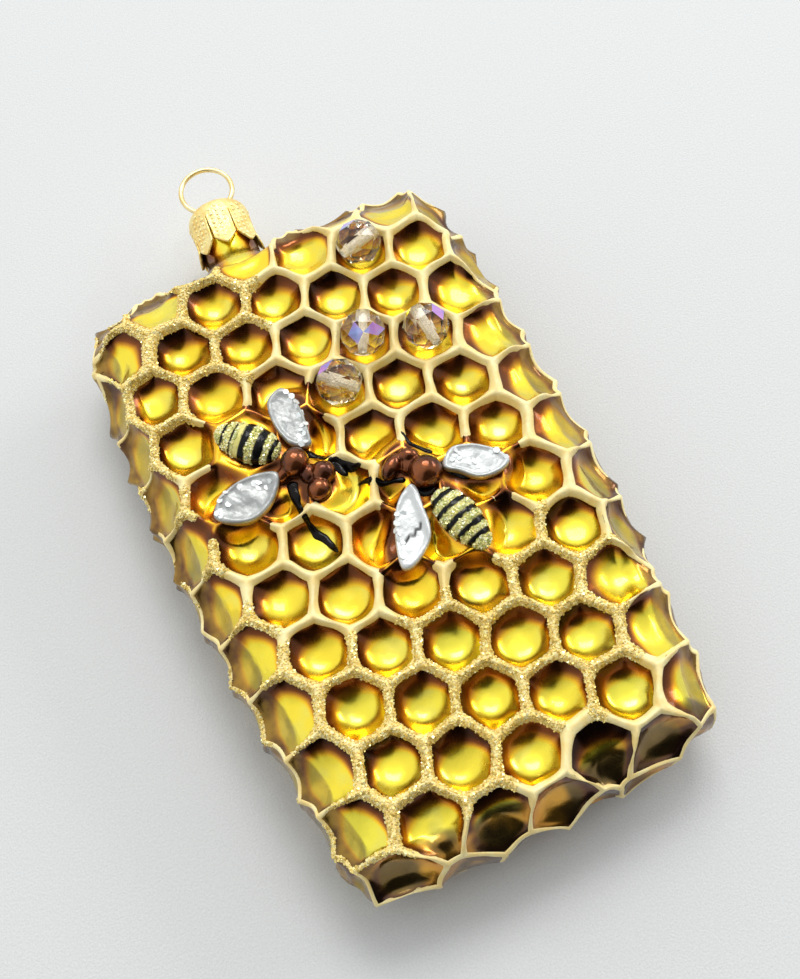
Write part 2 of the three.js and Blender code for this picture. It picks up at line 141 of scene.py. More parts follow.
def rim_cells():
    """A row of cells round the waist, evenly spaced."""
    angle = np.arange(720) / 720 * 2 * math.pi
    core, away, _ = outward(np.column_stack([np.cos(angle), np.sin(angle)]) * LENGTH)
    line = core + away * RIM_RUN
    points = skin(line, 1)
    steps = np.linalg.norm(np.roll(points, -1, axis=0) - points, axis=1)
    count = round(steps.sum() / PITCH)
    walked, cells = 0.0, []
    for flat, point, step in zip(line, points, steps):
        if walked >= len(cells) / count * steps.sum():
            cells.append(new_cell("rim", 0, flat, point))
        walked += step
    return cells


def face_cells(side):
    """The slightly turned and misplaced cells of a face, as far as the rim's own cells."""
    cells = []
    for column in range(-6, 7):
        for row in range(-8, 8):
            x, y = column * PITCH * math.sin(math.pi / 3), (row + column % 2 / 2) * PITCH
            flat = np.array(turned(x, y, COMB_TURN)) + COMB_SHIFT[side]
            flat += [(next(draws) - 0.5) * JITTER, (next(draws) - 0.5) * JITTER]
            if outward(flat[None])[2][0] > RIM_RUN:
                continue
            point = skin(flat[None], side)[0]
            if all(np.linalg.norm(other.point - point) > EDGE_GAP for other in rim):
                cells.append(new_cell(f"{column},{row}", side, flat, point))
    return cells


draws, rim = mould_draws(), rim_cells()
front, back = face_cells(1), face_cells(-1)

# Each bee sits on a smooth swelling of the glass. Turns are in degrees from +X toward +Y.
BEES = [
    {
        "thorax": np.array([-11.6, 10.4]), "head_turn": -57, "abdomen_turn": 122,
        "wings": [
            {"middle": np.array([-8.0, 18.6]), "turn": 77, "length": 10.6, "width": 6.3},
            {"middle": np.array([-20.6, 8.9]), "turn": 180, "length": 11.2, "width": 6.8},
        ],
    },
    {
        "thorax": np.array([7.1, 0.5]), "head_turn": 130, "abdomen_turn": -80,
        "wings": [
            {"middle": np.array([15.2, -2.5]), "turn": -20, "length": 10.6, "width": 5.0},
            {"middle": np.array([0.1, -6.7]), "turn": 235, "length": 13.2, "width": 5.4},
        ],
    },
]
THORAX_RADIUS, ABDOMEN_OVAL, ABDOMEN_REACH, FACE_OVAL, FACE_REACH = 2.6, (5.8, 2.95), 8.6, (2.4, 3.3), 4.6
SWELL_REACH, WING_SWELL_REACH, SWELL_TOP, SWELL_RISE, SWELL_FILL = 6.5, 5.2, 0.45, 0.4, 0.75
BEE_SHADE_FALLOFF = [(0.68, 0.6), (0.32, 1.8)]  # strength and reach of the painted shade round a bee


def reach_out(start, length, turn):
    angle = math.radians(turn)
    return start + length * np.array([math.cos(angle), math.sin(angle)])


def line_distance(points, start, end):
    share = np.clip((points - start) @ (end - start) / np.sum((end - start) ** 2), 0, 1)
    return np.linalg.norm(points - start - share[:, None] * (end - start), axis=1)


def smooth_step(value, low, high):
    share = np.clip((value - low) / (high - low), 0, 1)
    return share * share * (3 - 2 * share)


def bee_distances(flat):
    """How far flat points are from the line of the nearest bee's abdomen, face and wings."""
    abdomens, faces, wings = [], [], []
    for bee in BEES:
        thorax = bee["thorax"]
        tail = reach_out(thorax, ABDOMEN_REACH + ABDOMEN_OVAL[0] / 2, bee["abdomen_turn"])
        abdomens.append(line_distance(flat, thorax, tail))
        faces.append(line_distance(flat, thorax, reach_out(thorax, FACE_REACH, bee["head_turn"])))
        for wing in bee["wings"]:
            tip = reach_out(wing["middle"], wing["length"] / 4, wing["turn"])
            wings.append(line_distance(flat, thorax, tip))
    return [np.min(lines, axis=0) for lines in (abdomens, faces, wings)]


def swelling(flat, sheet):
    """1 under a bee's body and wings, falling to 0 at the end of the swelling."""
    abdomen, face, wing = bee_distances(flat)
    shares = [abdomen / SWELL_REACH, face / SWELL_REACH, wing / WING_SWELL_REACH]
    return (1 - smooth_step(np.min(shares, axis=0), SWELL_TOP, 1)) * (sheet == 1)


def shade_by_bees(flat, sheet):
    """1 where the glass dips under the edge of a bee, where the lacquer is painted darker as shade."""
    ovals = []
    for bee in BEES:
        thorax, tail_turn, face_turn = bee["thorax"], bee["abdomen_turn"], bee["head_turn"]
        ovals.append((thorax, THORAX_RADIUS, THORAX_RADIUS, 0))
        ovals.append((reach_out(thorax, ABDOMEN_REACH, tail_turn), *ABDOMEN_OVAL, tail_turn))
        ovals.append((reach_out(thorax, FACE_REACH, face_turn), *FACE_OVAL, face_turn))
        ovals += [(wing["middle"], wing["length"] / 2, wing["width"] / 2, wing["turn"]) for wing in bee["wings"]]
    nearest = np.full(len(flat), 9.0)
    for middle, long, wide, turn in ovals:
        way = reach_out(np.zeros(2), 1, turn)
        off = flat - middle
        stretch = np.hypot(off @ way / long, (off[:, 1] * way[0] - off[:, 0] * way[1]) / wide)
        nearest = np.minimum(nearest, (stretch - 1) * wide)
    nearest = np.maximum(nearest, 0)
    return sum(strength * np.exp(-nearest / reach) for strength, reach in BEE_SHADE_FALLOFF) * (sheet == 1)


NECK_ROOT, NECK_WIDTH, NECK_EDGE = np.array([-3.6, 55.0]), 5.6, (51.5, 57)
NECK_PUSH, NECK_PUSH_WIDTH, NECK_PUSH_EDGE, NECK_DIP = 1.6, 6, (44, 52), 1.9


def by_neck(flat, width, edge):
    return np.exp(-(((flat[:, 0] - NECK_ROOT[0]) / width) ** 2)) * smooth_step(flat[:, 1], *edge)


def neck_dip(flat):
    """1 where the rim is drawn out into the neck."""
    return by_neck(flat, NECK_WIDTH, NECK_EDGE)


def swollen(flat, sheet, depth):
    """A cell's depth once a bee swells the glass, or the back makes room for its paint."""
    depth = depth + NECK_DIP * neck_dip(flat)
    swell = swelling(flat, sheet)
    return depth + BACK_ROOM if sheet == -1 else depth * (1 - SWELL_FILL * swell) - SWELL_RISE * swell


def wave(points, length, seed):
    """A smooth wander between -1 and 1 over the given length, always the same at one place."""
    turns = np.random.default_rng(seed)
    total = 0
    for _ in range(4):
        total = total + np.sin(points @ turns.normal(0, 3.6 / length, points.shape[1]) + turns.uniform(0, 6.28))
    return total / 4


RIM_PULL, BACK_PULL_END, CORNER_STRAY, LEAST_RIDGE = {1: 2.0, -1: 3.0}, -50, 0.6, 1.8
EVENED, LEFT_UNEVEN, EVENING_ROUNDS, EVENING_STEP, PARTING_ROUNDS = 0.85, 0.15, 30, 0.4, 12


def kept_apart(place, average, triples):
    """Moves neighbouring corners that cross or nearly meet until each ridge has its least length."""
    edges = {}
    for k, (a, b, c) in enumerate(triples):
        for pair in ((a, b), (b, c), (c, a)):
            edges.setdefault(tuple(sorted(pair)), []).append(k)
    ends = np.array([pair for pair in edges.values() if len(pair) == 2])
    way = average[ends[:, 1]] - average[ends[:, 0]]
    way /= np.linalg.norm(way, axis=1)[:, None]
    for _ in range(PARTING_ROUNDS):
        span = np.sum((place[ends[:, 1]] - place[ends[:, 0]]) * way, axis=1)
        push = np.maximum(LEAST_RIDGE - span, 0)[:, None] * way / 2
        np.add.at(place, ends[:, 1], push)
        np.subtract.at(place, ends[:, 0], push)
    return place


def add_corners(cells, side):
    """Finds where each three neighbouring cells meet and hands the place to all three."""
    triples = geometry.delaunay_2d_cdt([Vector(cell.flat) for cell in cells], [], [], 0, 1e-6)[2]
    pulls = [
        RIM_PULL[side] * (cell.side == 0 and (side == 1 or cell.point[1] < BACK_PULL_END)) for cell in cells
    ]
    middles, points, pulls = (
        np.array([[values[k] for k in triple] for triple in triples])
        for values in ([cell.flat for cell in cells], [cell.point for cell in cells], pulls)
    )
    average = middles.mean(axis=1)
    place = average.copy()
    for _ in range(EVENING_ROUNDS):
        reach = np.linalg.norm(points - skin(place, side)[:, None], axis=2) + pulls
        toward = middles - place[:, None]
        toward /= np.maximum(np.linalg.norm(toward, axis=2), 1e-9)[:, :, None]
        uneven = reach - reach.mean(axis=1, keepdims=True)
        place = place + EVENING_STEP * np.sum(toward * uneven[:, :, None], axis=1)
    place = place * EVENED + average * LEFT_UNEVEN
    place[:, 1] -= NECK_PUSH * by_neck(place, NECK_PUSH_WIDTH, NECK_PUSH_EDGE) * (side == 1)
    place += CORNER_STRAY * np.column_stack([wave(place, 7, 50 + side), wave(place, 7, 53 + side)])
    place = kept_apart(place, average, triples)
    beyond = across_rim(place)
    for k, triple in enumerate(triples):
        for cell in (cells[j] for j in triple):
            toward, where = average[k] - cell.flat, place[k]
            if cell.side == 0 and side == -1:
                away = outward(cell.flat[None])[1][0]
                toward = toward - 2 * (toward @ away) * away
                where = beyond[k]
            cell.corners.append((math.atan2(toward[1], toward[0]), (side, k), where))


add_corners(rim + front, 1)
add_corners(rim + back, -1)

# The ridges between the cells wander a little, as they were carved by hand, and on the rim
# they sag between the corners, less so at the low end.
RIDGE_STEPS, RIDGE_SAG = {1: 8, -1: 4}, {1: 1.35, -1: 0.9}
RIDGE_SWAY, FULL_SWAY_LENGTH, FULL_SAG_LENGTH = (0.34, 0.2), 5, 6
ridges = {}


def ridge_line(start, end, sheet):
    """The points between two corners on a cell's flat sheet. The two cells beside it share them."""
    key = tuple(sorted([start[1], end[1]]))
    if key not in ridges:
        share = np.linspace(0, 1, RIDGE_STEPS[sheet] + 1)[1:-1, None]
        line = start[2] * (1 - share) + end[2] * share
        bend = np.random.default_rng(len(ridges)).uniform(-1, 1, 2)
        along = end[2] - start[2]
        length = np.hypot(*along)
        across = np.array([-along[1], along[0]]) / max(length, 1e-9)
        sway = sum(RIDGE_SWAY[k] * bend[k] * np.sin((k + 1) * math.pi * share) for k in (0, 1))
        line = line + across * sway * min(length / FULL_SWAY_LENGTH, 1)
        away, upright = rim_at(line)
        sag = RIDGE_SAG[sheet] * upright**2 * (1 - 0.6 * smooth_step(-away[:, 1], 0.4, 0.9))
        sag = sag * np.sin(math.pi * share[:, 0]) * min(length / FULL_SAG_LENGTH, 1.2)
        ridges[key] = {"start": start[1], "sheet": sheet, "line": line, "sag": sag}
    ridge = ridges[key]
    line, sag, marks = ridge["line"], ridge["sag"], [(key, k) for k in range(len(ridge["line"]))]
    if ridge["start"] != start[1]:
        line, sag, marks = line[::-1], sag[::-1], marks[::-1]
    return line if ridge["sheet"] == sheet else across_rim(line), sag, marks


def softened(values):
    """Values round a cell, each blended with its neighbours."""
    for _ in range(6):
        values = (np.roll(values, 1) + 2 * np.array(values) + np.roll(values, -1)) / 4
    return values


def trace_outline(cell):
    """A cell's ridge all round: flat points, a shared mark for each, and the middle's distance to each."""
    cell.sheet = -1 if cell.side == -1 else 1
    corners = sorted(cell.corners, key=lambda corner: corner[0])
    cell.place, cell.flat = cell.flat, np.mean([place for _, _, place in corners], axis=0)
    flats, marks, clear, sags, spans = [], [], [], [], []
    for start, end in zip(corners, corners[1:] + corners[:1]):
        along = (end[2] - start[2]) / max(np.hypot(*(end[2] - start[2])), 1e-9)
        offset = cell.flat - start[2]
        spans.append(max(abs(along[0] * offset[1] - along[1] * offset[0]), 2.0))
    for k, start in enumerate(corners):
        line, sag, names = ridge_line(start, corners[(k + 1) % len(corners)], cell.sheet)
        flats += [start[2], *line]
        sags += [0, *sag]
        marks += [start[1], *names]
        clear += [(spans[k - 1] + spans[k]) / 2] + [spans[k]] * len(line)
    cell.outline, cell.marks, cell.clear = np.array(flats), marks, softened(clear)
    cell.sag, cell.soft_sag = np.array(sags), softened(sags)
    cell.reach = np.linalg.norm(cell.outline - cell.flat, axis=1)
    cell.spokes = (cell.outline - cell.flat) / cell.reach[:, None]


PAD_CELL = "0,0"  # the ornament rests on this flat cell of the back
ROUNDNESS, SLANT_LOSS = {1: (2.2, 3.8), 0: (2.0, 2.4), -1: (2.4, 3.2)}, {1: 0.35, 0: 0, -1: 0.7}
DEPTH_SPREAD, NECK_FADE, LEAN, DRIFT, LEMON_BY_CHANCE, LEMON_BY_PLACE = (0.88, 1.1), (3.5, 9), 0.09, 0.35, 0.55, 0.45
cell_draws = np.random.default_rng(5)
for cell in front + rim + back:
    trace_outline(cell)
    full = CELL_DEPTH[cell.side] * (1 - SLANT_LOSS[cell.side] * rim_at(cell.flat[None])[1][0])
    full *= 0.4 + 0.6 * smooth_step(np.hypot(*(cell.point[:2] - NECK_ROOT)), *NECK_FADE)
    pad = cell.side == -1 and cell.name == PAD_CELL
    cell.depth = -BACK_ROOM if pad else full * cell_draws.uniform(*DEPTH_SPREAD)
    cell.round = cell_draws.uniform(*ROUNDNESS[cell.side])
    cell.lean, cell.drift = cell_draws.uniform(-LEAN, LEAN, 2), cell_draws.uniform(-DRIFT, DRIFT, 2)
    cell.tone, cell.lemon = cell_draws.uniform(0, 1, 2)
    cell.lemon = LEMON_BY_CHANCE * cell.lemon + LEMON_BY_PLACE * smooth_step(-cell.flat[1], 5, 30)

ROUNDING, ROUNDING_RUN, RIPPLE, EDGE_RUN, SAG_BLEND, SAG_RUN = 0.95, 1.7, 0.05, 0.6, 0.9, 2.2


def inside(cell, inward):
    """A ring of flat points a distance in from a cell's ridge, rounder the further in, and its depth."""
    mean = cell.clear.mean()
    straight = cell.reach * (1 - inward / cell.clear)
    rounded = np.minimum(mean - inward, 1.08 * cell.reach * (1 - inward / mean))
    share = ROUNDING * (1 - (1 - min(inward / ROUNDING_RUN, 1)) ** 2)
    length = np.maximum(straight * (1 - share) + rounded * share, 0)
    flat = cell.flat + cell.spokes * length[:, None] + cell.drift * share
    bowl = 1 - (1 - min(inward / mean, 1)) ** cell.round
    lean = bowl * ((flat - cell.flat) @ cell.lean)
    ripple = RIPPLE * bowl * wave(flat, 4, 70)
    depth = smooth_step(inward, 0, EDGE_RUN) * (cell.depth * bowl + (lean + ripple) * (cell.depth > 0))
    soft = smooth_step(inward, 0, SAG_BLEND)
    depth = depth + (cell.sag * (1 - soft) + cell.soft_sag * soft) * (1 - smooth_step(inward, 0, SAG_RUN))
    return flat, swollen(flat, cell.sheet, depth)


def new_object(name, data):
    made = bpy.data.objects.new(name, data)
    bpy.context.collection.objects.link(made)
    return made


def new_mesh(name, points, faces, unit=MM):
    mesh = bpy.data.meshes.new(name)
    mesh.from_pydata((np.asarray(points, float) * unit).tolist(), [], faces)
    return mesh


def on_root(name, mesh, slot):
    """A finished mesh as a piece that rides on the one body."""
    piece = new_object(name, mesh)
    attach(piece, "root")
    return piece


def make_piece(name, points, faces, material, slot, **marks):
    """A piece from millimetre points, with the marks that its material reads."""
    mesh = new_mesh(name, points, faces)
    for mark, values in marks.items():
        mesh.attributes.new(mark, "FLOAT", "POINT").data.foreach_set("value", np.asarray(values, np.float32))
    mesh.shade_smooth()
    mesh.materials.append(material)
    return on_root(name, mesh, slot)


def node(tree, kind, inputs=None, **settings):
    """Adds a node. An input is given by its name or number, as a value or as another node's output."""
    made = tree.nodes.new(kind)
    for setting, value in settings.items():
        setattr(made, setting, value)
    for place, value in (inputs or {}).items():
        if isinstance(value, bpy.types.NodeSocket):
            tree.links.new(value, made.inputs[place])
        else:
            made.inputs[place].default_value = value
    return made


def new_group(name, kind, inputs, outputs):
    """A node group with sockets by name and kind, and the sockets of what it is given."""
    group = bpy.data.node_groups.new(name, kind)
    for in_out, sockets in (("INPUT", inputs), ("OUTPUT", outputs)):
        for title, socket in sockets.items():
            group.interface.new_socket(title, in_out=in_out, socket_type="NodeSocket" + socket)
    return group, node(group, "NodeGroupInput").outputs


def blend_colours(tree, share, first, second):
    return node(tree, "ShaderNodeMix", {0: share, 6: first, 7: second}, data_type="RGBA").outputs[2]


def between(tree, value, low, high, to_low=0.0, to_high=1.0):
    """Maps a value from one range to another, smoothly."""
    inputs = {"Value": value, 1: low, 2: high, 3: to_low, 4: to_high}
    return node(tree, "ShaderNodeMapRange", inputs, interpolation_type="SMOOTHSTEP").outputs[0]


def reckon(tree, operation, *values):
    return node(tree, "ShaderNodeMath", dict(enumerate(values)), operation=operation).outputs[0]


def noise(tree, scale, detail=2.0):
    place = node(tree, "ShaderNodeTexCoord").outputs["Object"]
    return node(tree, "ShaderNodeTexNoise", {"Vector": place, "Scale": scale, "Detail": detail}).outputs[0]


def mark(tree, name):
    return node(tree, "ShaderNodeAttribute", attribute_name=name).outputs["Fac"]


# The fine unevenness of every finish here: two tones, a varying gloss and a low relief.
speckle, given = new_group(
    "speckle", "ShaderNodeTree",
    {"First": "Color", "Second": "Color", "Grain": "Float", "Smoothest": "Float", "Roughest": "Float",
     "Relief Grain": "Float", "Relief Depth": "Float"},
    {"Colour": "Color", "Roughness": "Float", "Normal": "Vector"},
)
patches = between(speckle, noise(speckle, given["Grain"], 3), 0.35, 0.65)
finer = noise(speckle, reckon(speckle, "MULTIPLY", given["Grain"], 2.1))
raised = node(speckle, "ShaderNodeBump", {
    "Height": noise(speckle, given["Relief Grain"], 3), "Distance": given["Relief Depth"], "Strength": 0.7,
}).outputs[0]
node(speckle, "NodeGroupOutput", {
    0: blend_colours(speckle, patches, given["First"], given["Second"]),
    1: between(speckle, finer, 0.3, 0.7, given["Smoothest"], given["Roughest"]), 2: raised,
})


def grouped_material(name, group, values, constants):
    """A material whose colour, gloss and relief come from a group, and the rest from constants."""
    material = bpy.data.materials.new(name)
    material.use_nodes = True
    tree = material.node_tree
    tree.nodes.clear()
    constants = {title.replace("_", " "): value for title, value in constants.items()}
    shader = node(tree, "ShaderNodeBsdfPrincipled", constants)
    node(tree, "ShaderNodeOutputMaterial", {"Surface": shader.outputs[0]})
    placed = node(tree, "ShaderNodeGroup", values, node_tree=group)
    for output, title in zip(placed.outputs, ("Base Color", "Roughness", "Normal")):
        tree.links.new(output, shader.inputs[title])
    return material


def speckled(name, first, second, grain, gloss, relief, **constants):
    """A material from two colours, their grain, the range of gloss, and the relief's grain and depth."""
    values = ((*first, 1), (*second, 1), grain, *gloss, *relief)
    return grouped_material(name, speckle, dict(enumerate(values)), constants)


def colour_of(material):
    """A material's tree, the socket of its colour, and what feeds that."""
    colour = material.node_tree.nodes["Principled BSDF"].inputs["Base Color"]
    return material.node_tree, colour, colour.links[0].from_socket


# Painted shade: the lacquer is yellow on the floors, painted brown to near black up the walls,
# smoky dark on the rim and dark brown at the low end.
WALL_SHADE_TONES = [
    (0.22, (1.0, 0.6, 0.02)), (0.45, (0.68, 0.29, 0.02)), (0.7, (0.24, 0.066, 0.011)), (1.0, (0.03, 0.01, 0.004)),
]
GOLDEN, LEMON, CREAMY = (1.0, 0.73, 0.035, 1), (0.9, 0.8, 0.07, 1), (0.84, 0.75, 0.13, 1)
LOW_END_SHADE_DARK, LOW_END_SHADE_LIGHT = (0.075, 0.032, 0.028, 1), (0.7, 0.32, 0.04, 1)
amber = speckled(
    "amber_lacquer_on_silvered_glass", (0.1, 0.05, 0.03), (0.5, 0.3, 0.045), 190, (0.19, 0.3), (240, 0.0001),
    Metallic=1.0, Coat_Weight=0.35, Coat_Roughness=0.04,
)
tree, colour, rim_shade = colour_of(amber)
wall_tone = node(tree, "ShaderNodeValToRGB", {0: mark(tree, "wall")})
stops = wall_tone.color_ramp.elements
for place, _ in WALL_SHADE_TONES[1:-1]:
    stops.new(place)
for stop, (place, tone) in zip(stops, WALL_SHADE_TONES):
    stop.position, stop.color = place, (*tone, 1)
floor_tone = blend_colours(tree, mark(tree, "lemon"), GOLDEN, LEMON)
floor_tone = blend_colours(tree, between(tree, noise(tree, 170), 0.48, 0.66, 0.0, 0.6), floor_tone, CREAMY)
thinned = blend_colours(tree, between(tree, mark(tree, "wall"), 0.0, 0.25), floor_tone, wall_tone.outputs[0])
# Painted shade: the steep rim takes the dark smoky speckle tones.
flanked = blend_colours(tree, between(tree, mark(tree, "flank"), 0.68, 0.93, 0.0, 0.85), thinned, rim_shade)
# Painted shade: the low end of the rim is painted dark brown with noisy golden-brown patches.
low_end_shade = blend_colours(tree, between(tree, noise(tree, 120), 0.47, 0.62), LOW_END_SHADE_DARK, LOW_END_SHADE_LIGHT)
dark_end = between(tree, mark(tree, "low_end"), 0.18, 0.7, 0.0, 0.78)
tree.links.new(blend_colours(tree, dark_end, flanked, low_end_shade), colour)

# How far in from the ridge each ring of a cell lies.
RINGS = {
    1: [0.25, 0.5, 0.75, 1.0, 1.3, 1.6, 1.95, 2.3, 2.7, 3.1, 3.6, 4.2],
    0: [0.3, 0.6, 0.95, 1.3, 1.7, 2.1, 2.5, 3.0, 3.8],
    -1: [0.4, 0.9, 1.4, 1.9, 2.4, 3.1, 4.1],
}
# Painted shade: the lacquer is painted darkest on the upper wall of each cell, toward the neck.
SHADED_SIDE, SHADE_MEAN_RUN, SHADE_LEAN, SHADE_STRAY = np.array([-0.2, 0.98]), 2.3, 1.6, 0.6
# How dark the painted shade is on the ridge lines and round the bees.
RIDGE_SHADE, BEE_SHADE = 0.9, 0.9
glass_points, glass_faces, shared = [], [], {}
glass_marks = {"wall": [], "flank": [], "low_end": [], "lemon": []}


def added(points, more):
    """Adds points to a list and gives back their numbers."""
    points.extend(more)
    return list(range(len(points) - len(more), len(points)))


def add_glass(flat, sheet, depth, wall, lemon=0.5):
    away, flank = rim_at(flat)
    low_end = flank * smooth_step(-away[:, 1], 0.3, 0.9)
    for title, values in zip(glass_marks, (wall, flank, low_end, lemon)):
        glass_marks[title].extend(np.broadcast_to(values, len(flat)))
    return added(glass_points, skin(flat, sheet, depth))


def join_rings(faces, outer, inner, sheet):
    """Closes the band between two rings of a cell, or between a ring and the one point inside it."""
    for k in range(len(outer)):
        after = (k + 1) % len(outer)
        far = inner if len(inner) == 1 else (inner[after], inner[k])
        face = (outer[k], outer[after], *far)
        faces.append(face if sheet == 1 else face[::-1])


def sprayed_wall(cell, flat, inward):
    """How much painted shade darkens a ring of a cell, from 0 on its floor to 1."""
    off = flat - cell.flat
    facing = off @ SHADED_SIDE / np.maximum(np.hypot(*off.T), 0.1)
    fade = SHADE_MEAN_RUN + SHADE_LEAN * facing + SHADE_STRAY * wave(flat, 5, 80)
    high = (1 - smooth_step(inward / np.maximum(fade, 0.5), 0.22, 1)) * (0.8 + 0.2 * cell.tone)
    high = high * (1 - 0.7 * swelling(flat, cell.sheet))
    return np.maximum(high, BEE_SHADE * shade_by_bees(flat, cell.sheet)) * (1 - 0.8 * neck_dip(flat))


for cell in front + rim + back:
    sheet = cell.sheet
    fresh = [k for k, name in enumerate(cell.marks) if name not in shared]
    if fresh:
        line = cell.outline[fresh]
        # The ridge line is painted dark as shade too, but not on a bee's swelling.
        wall = RIDGE_SHADE - RIDGE_SHADE * smooth_step(swelling(line, sheet), 0, 0.5)
        wall = np.maximum(wall, 0.5 * shade_by_bees(line, sheet)) * (1 - 0.9 * neck_dip(line))
        made = add_glass(line, sheet, swollen(line, sheet, cell.sag[fresh]), wall)
        shared.update({cell.marks[k]: index for k, index in zip(fresh, made)})
    outer = [shared[name] for name in cell.marks]
    for inward in RINGS[cell.side]:
        flat, depth = inside(cell, inward)
        inner = add_glass(flat, sheet, depth, sprayed_wall(cell, flat, inward), cell.lemon)
        join_rings(glass_faces, outer, inner, sheet)
        outer = inner
    flat, depth = inside(cell, cell.clear.mean())
    middle = add_glass(flat.mean(axis=0, keepdims=True), sheet, depth[:1], 0.0, cell.lemon)
    join_rings(glass_faces, outer, middle, sheet)

comb = make_piece("comb", glass_points, glass_faces, amber, "amber_glass", **glass_marks)
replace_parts(comb, "glass_comb")
comb_tree = BVHTree.FromObject(comb, bpy.context.evaluated_depsgraph_get())

# ---- The painted ridges -------------------------------------------------------------------
# Cream enamel is piped by hand along every ridge as a raised band. It stops short of the bees,
# of the neck and of the resting side, and it is thinner on the rim.

PAINT_HALF, PAINT_LIFT, PAINT_ROOT, BARE_HEIGHT = 0.64, 0.22, 0.25, 14.0
PAINT_RINGS = [(0.4, 0.97), (0.75, 0.85), (0.95, 0.5), (1.06, -0.35)]
ABDOMEN_ROOM, FACE_ROOM, WING_ROOM = 5.7, 3.2, 5.1
GLITTERED = [
    (-45, 60), (-1, 62), (-1, 54), (-4, 36), (-14, 27), (-23, 26), (-29, 18), (-28, 6), (-27, -6),
    (-23, -15), (-8, -19), (3, -17), (9, -17), (21, -13), (28, -21), (25, -33), (22, -42), (17, -46),
    (6, -45), (-3, -50), (-19, -52), (-45, -54),
]
paint_points, paint_faces, paint_glitter, shared_paint = [], [], [], {}


def clear_of_bees(flat, sheet):
    """0 where a bee keeps the ridges bare, rising to 1 away from it."""
    abdomen, face, wing = bee_distances(flat)
    gap = np.min([abdomen - ABDOMEN_ROOM, face - FACE_ROOM, wing - WING_ROOM], axis=0)
    return smooth_step(gap, -0.2, 0.9) if sheet == 1 else np.ones(len(flat))


def on_glass(flat, sheet, lift, sag):
    """Points a lift above the finished glass."""
    outside = skin(flat, sheet, -3.0)
    surface = skin(flat, sheet, swollen(flat, sheet, sag))
    up = outside - skin(flat, sheet)
    up /= np.linalg.norm(up, axis=1)[:, None]
    for k, (start, way) in enumerate(zip(outside, up)):
        hit = comb_tree.ray_cast(Vector(start * MM), Vector(-way), 0.009)[0]
        surface[k] = np.array(hit or comb_tree.find_nearest(Vector(surface[k] * MM))[0]) / MM
    return surface + up * lift[:, None]


def within(points, border):
    """1 inside a closed border, 0 outside it."""
    inside_it = np.zeros(len(points), bool)
    for (ax, ay), (bx, by) in zip(border, border[1:] + border[:1]):
        if ay != by:
            crossed = (points[:, 1] > ay) != (points[:, 1] > by)
            inside_it ^= crossed & (points[:, 0] < ax + (points[:, 1] - ay) / (by - ay) * (bx - ax))
    return inside_it.astype(float)


def paint_along(line, sheet):
    """The paint on a ridge: its half width, its lift and whether glitter sticks to it."""
    surface = skin(line, sheet)
    away, flank = rim_at(line)
    cover = clear_of_bees(line, sheet) * (1 - smooth_step(neck_dip(line), 0.1, 0.4))
    low_end = smooth_step(-away[:, 1], 0.5, 0.9)
    bare = smooth_step(flank, 0.7, 0.85) * smooth_step(BARE_HEIGHT - 6 * low_end - surface[:, 2], -1, 2)
    cover = cover * (1 - bare * (1 - low_end * (wave(surface, 11, 6) > 0.1)))
    half = PAINT_HALF * (1.08 - 0.58 * smooth_step(flank, 0.6, 0.9))
    half = half * (0.12 + 0.88 * np.sqrt(cover)) * (1 + 0.16 * wave(surface, 4, 1))
    lift = PAINT_LIFT * (1 - 0.3 * flank) * (1 + 0.2 * wave(surface, 3, 2))
    patches = within(surface[:, :2] + 1.5 * wave(surface, 9, 3)[:, None], GLITTERED)
    sugared = np.where(surface[:, 2] > 8, patches, wave(surface, 26, 4) > 0.12)
    sugared = sugared * (cover > 0.5) * ((flank < 0.8) | (wave(surface, 15, 8) > 0.05))
    return half, (lift + PAINT_ROOT) * cover - PAINT_ROOT, sugared, flank


def add_paint(points, glitter):
    paint_glitter.extend(glitter)
    return added(paint_points, points)


for cell in front + rim + back:
    sheet, line = cell.sheet, cell.outline
    half, lift, sugared, flank = paint_along(line, sheet)
    fresh = [k for k, name in enumerate(cell.marks) if name not in shared_paint]
    if fresh:
        crest = skin(line, sheet, swollen(line, sheet, cell.sag))[fresh]
        up = (skin(line, sheet, -1.0) - skin(line, sheet))[fresh]
        tops = add_paint(crest + up * lift[fresh][:, None], sugared[fresh])
        bottoms = add_paint(crest - up * 0.4, np.zeros(len(fresh)))
        shared_paint.update({cell.marks[k]: pair for k, *pair in zip(fresh, tops, bottoms)})
    outer, bottom = ([shared_paint[name][k] for name in cell.marks] for k in (0, 1))
    for share, rise in PAINT_RINGS:
        inward, rounder = share * half, 0.42 * share * (1 - 0.6 * flank)
        length = cell.reach * (1 - inward / cell.clear) * (1 - rounder) + (cell.clear.mean() - inward) * rounder
        flat = cell.flat + cell.spokes * length[:, None]
        inner = add_paint(on_glass(flat, sheet, np.minimum(lift, lift * rise), cell.sag), sugared * (rise > 0))
        join_rings(paint_faces, outer, inner, sheet)
        outer = inner
    join_rings(paint_faces, outer, bottom, sheet)

cream = speckled("cream_enamel", (0.97, 0.74, 0.28), (1.0, 0.86, 0.43), 420, (0.3, 0.5), (1500, 0.00012))
paint = make_piece("ridge_paint", paint_points, paint_faces, cream, "cream_paint", mask=paint_glitter)

# ---- The glitter on the paint -------------------------------------------------------------
# Fine gold glass glitter is shaken on the wet enamel in patches. It sticks as it falls, each
# grain at its own angle, and the loose grains are blown off.

sprinkler, given = new_group(
    "sprinkle", "GeometryNodeTree",
    {"Carrier": "Geometry", "Grain": "Object", "Spacing": "Float", "Density": "Float", "Smallest": "Float",
     "Largest": "Float", "Tumble": "Float", "Seed": "Int", "Finish": "Material"},
    {"Grains": "Geometry"},
)


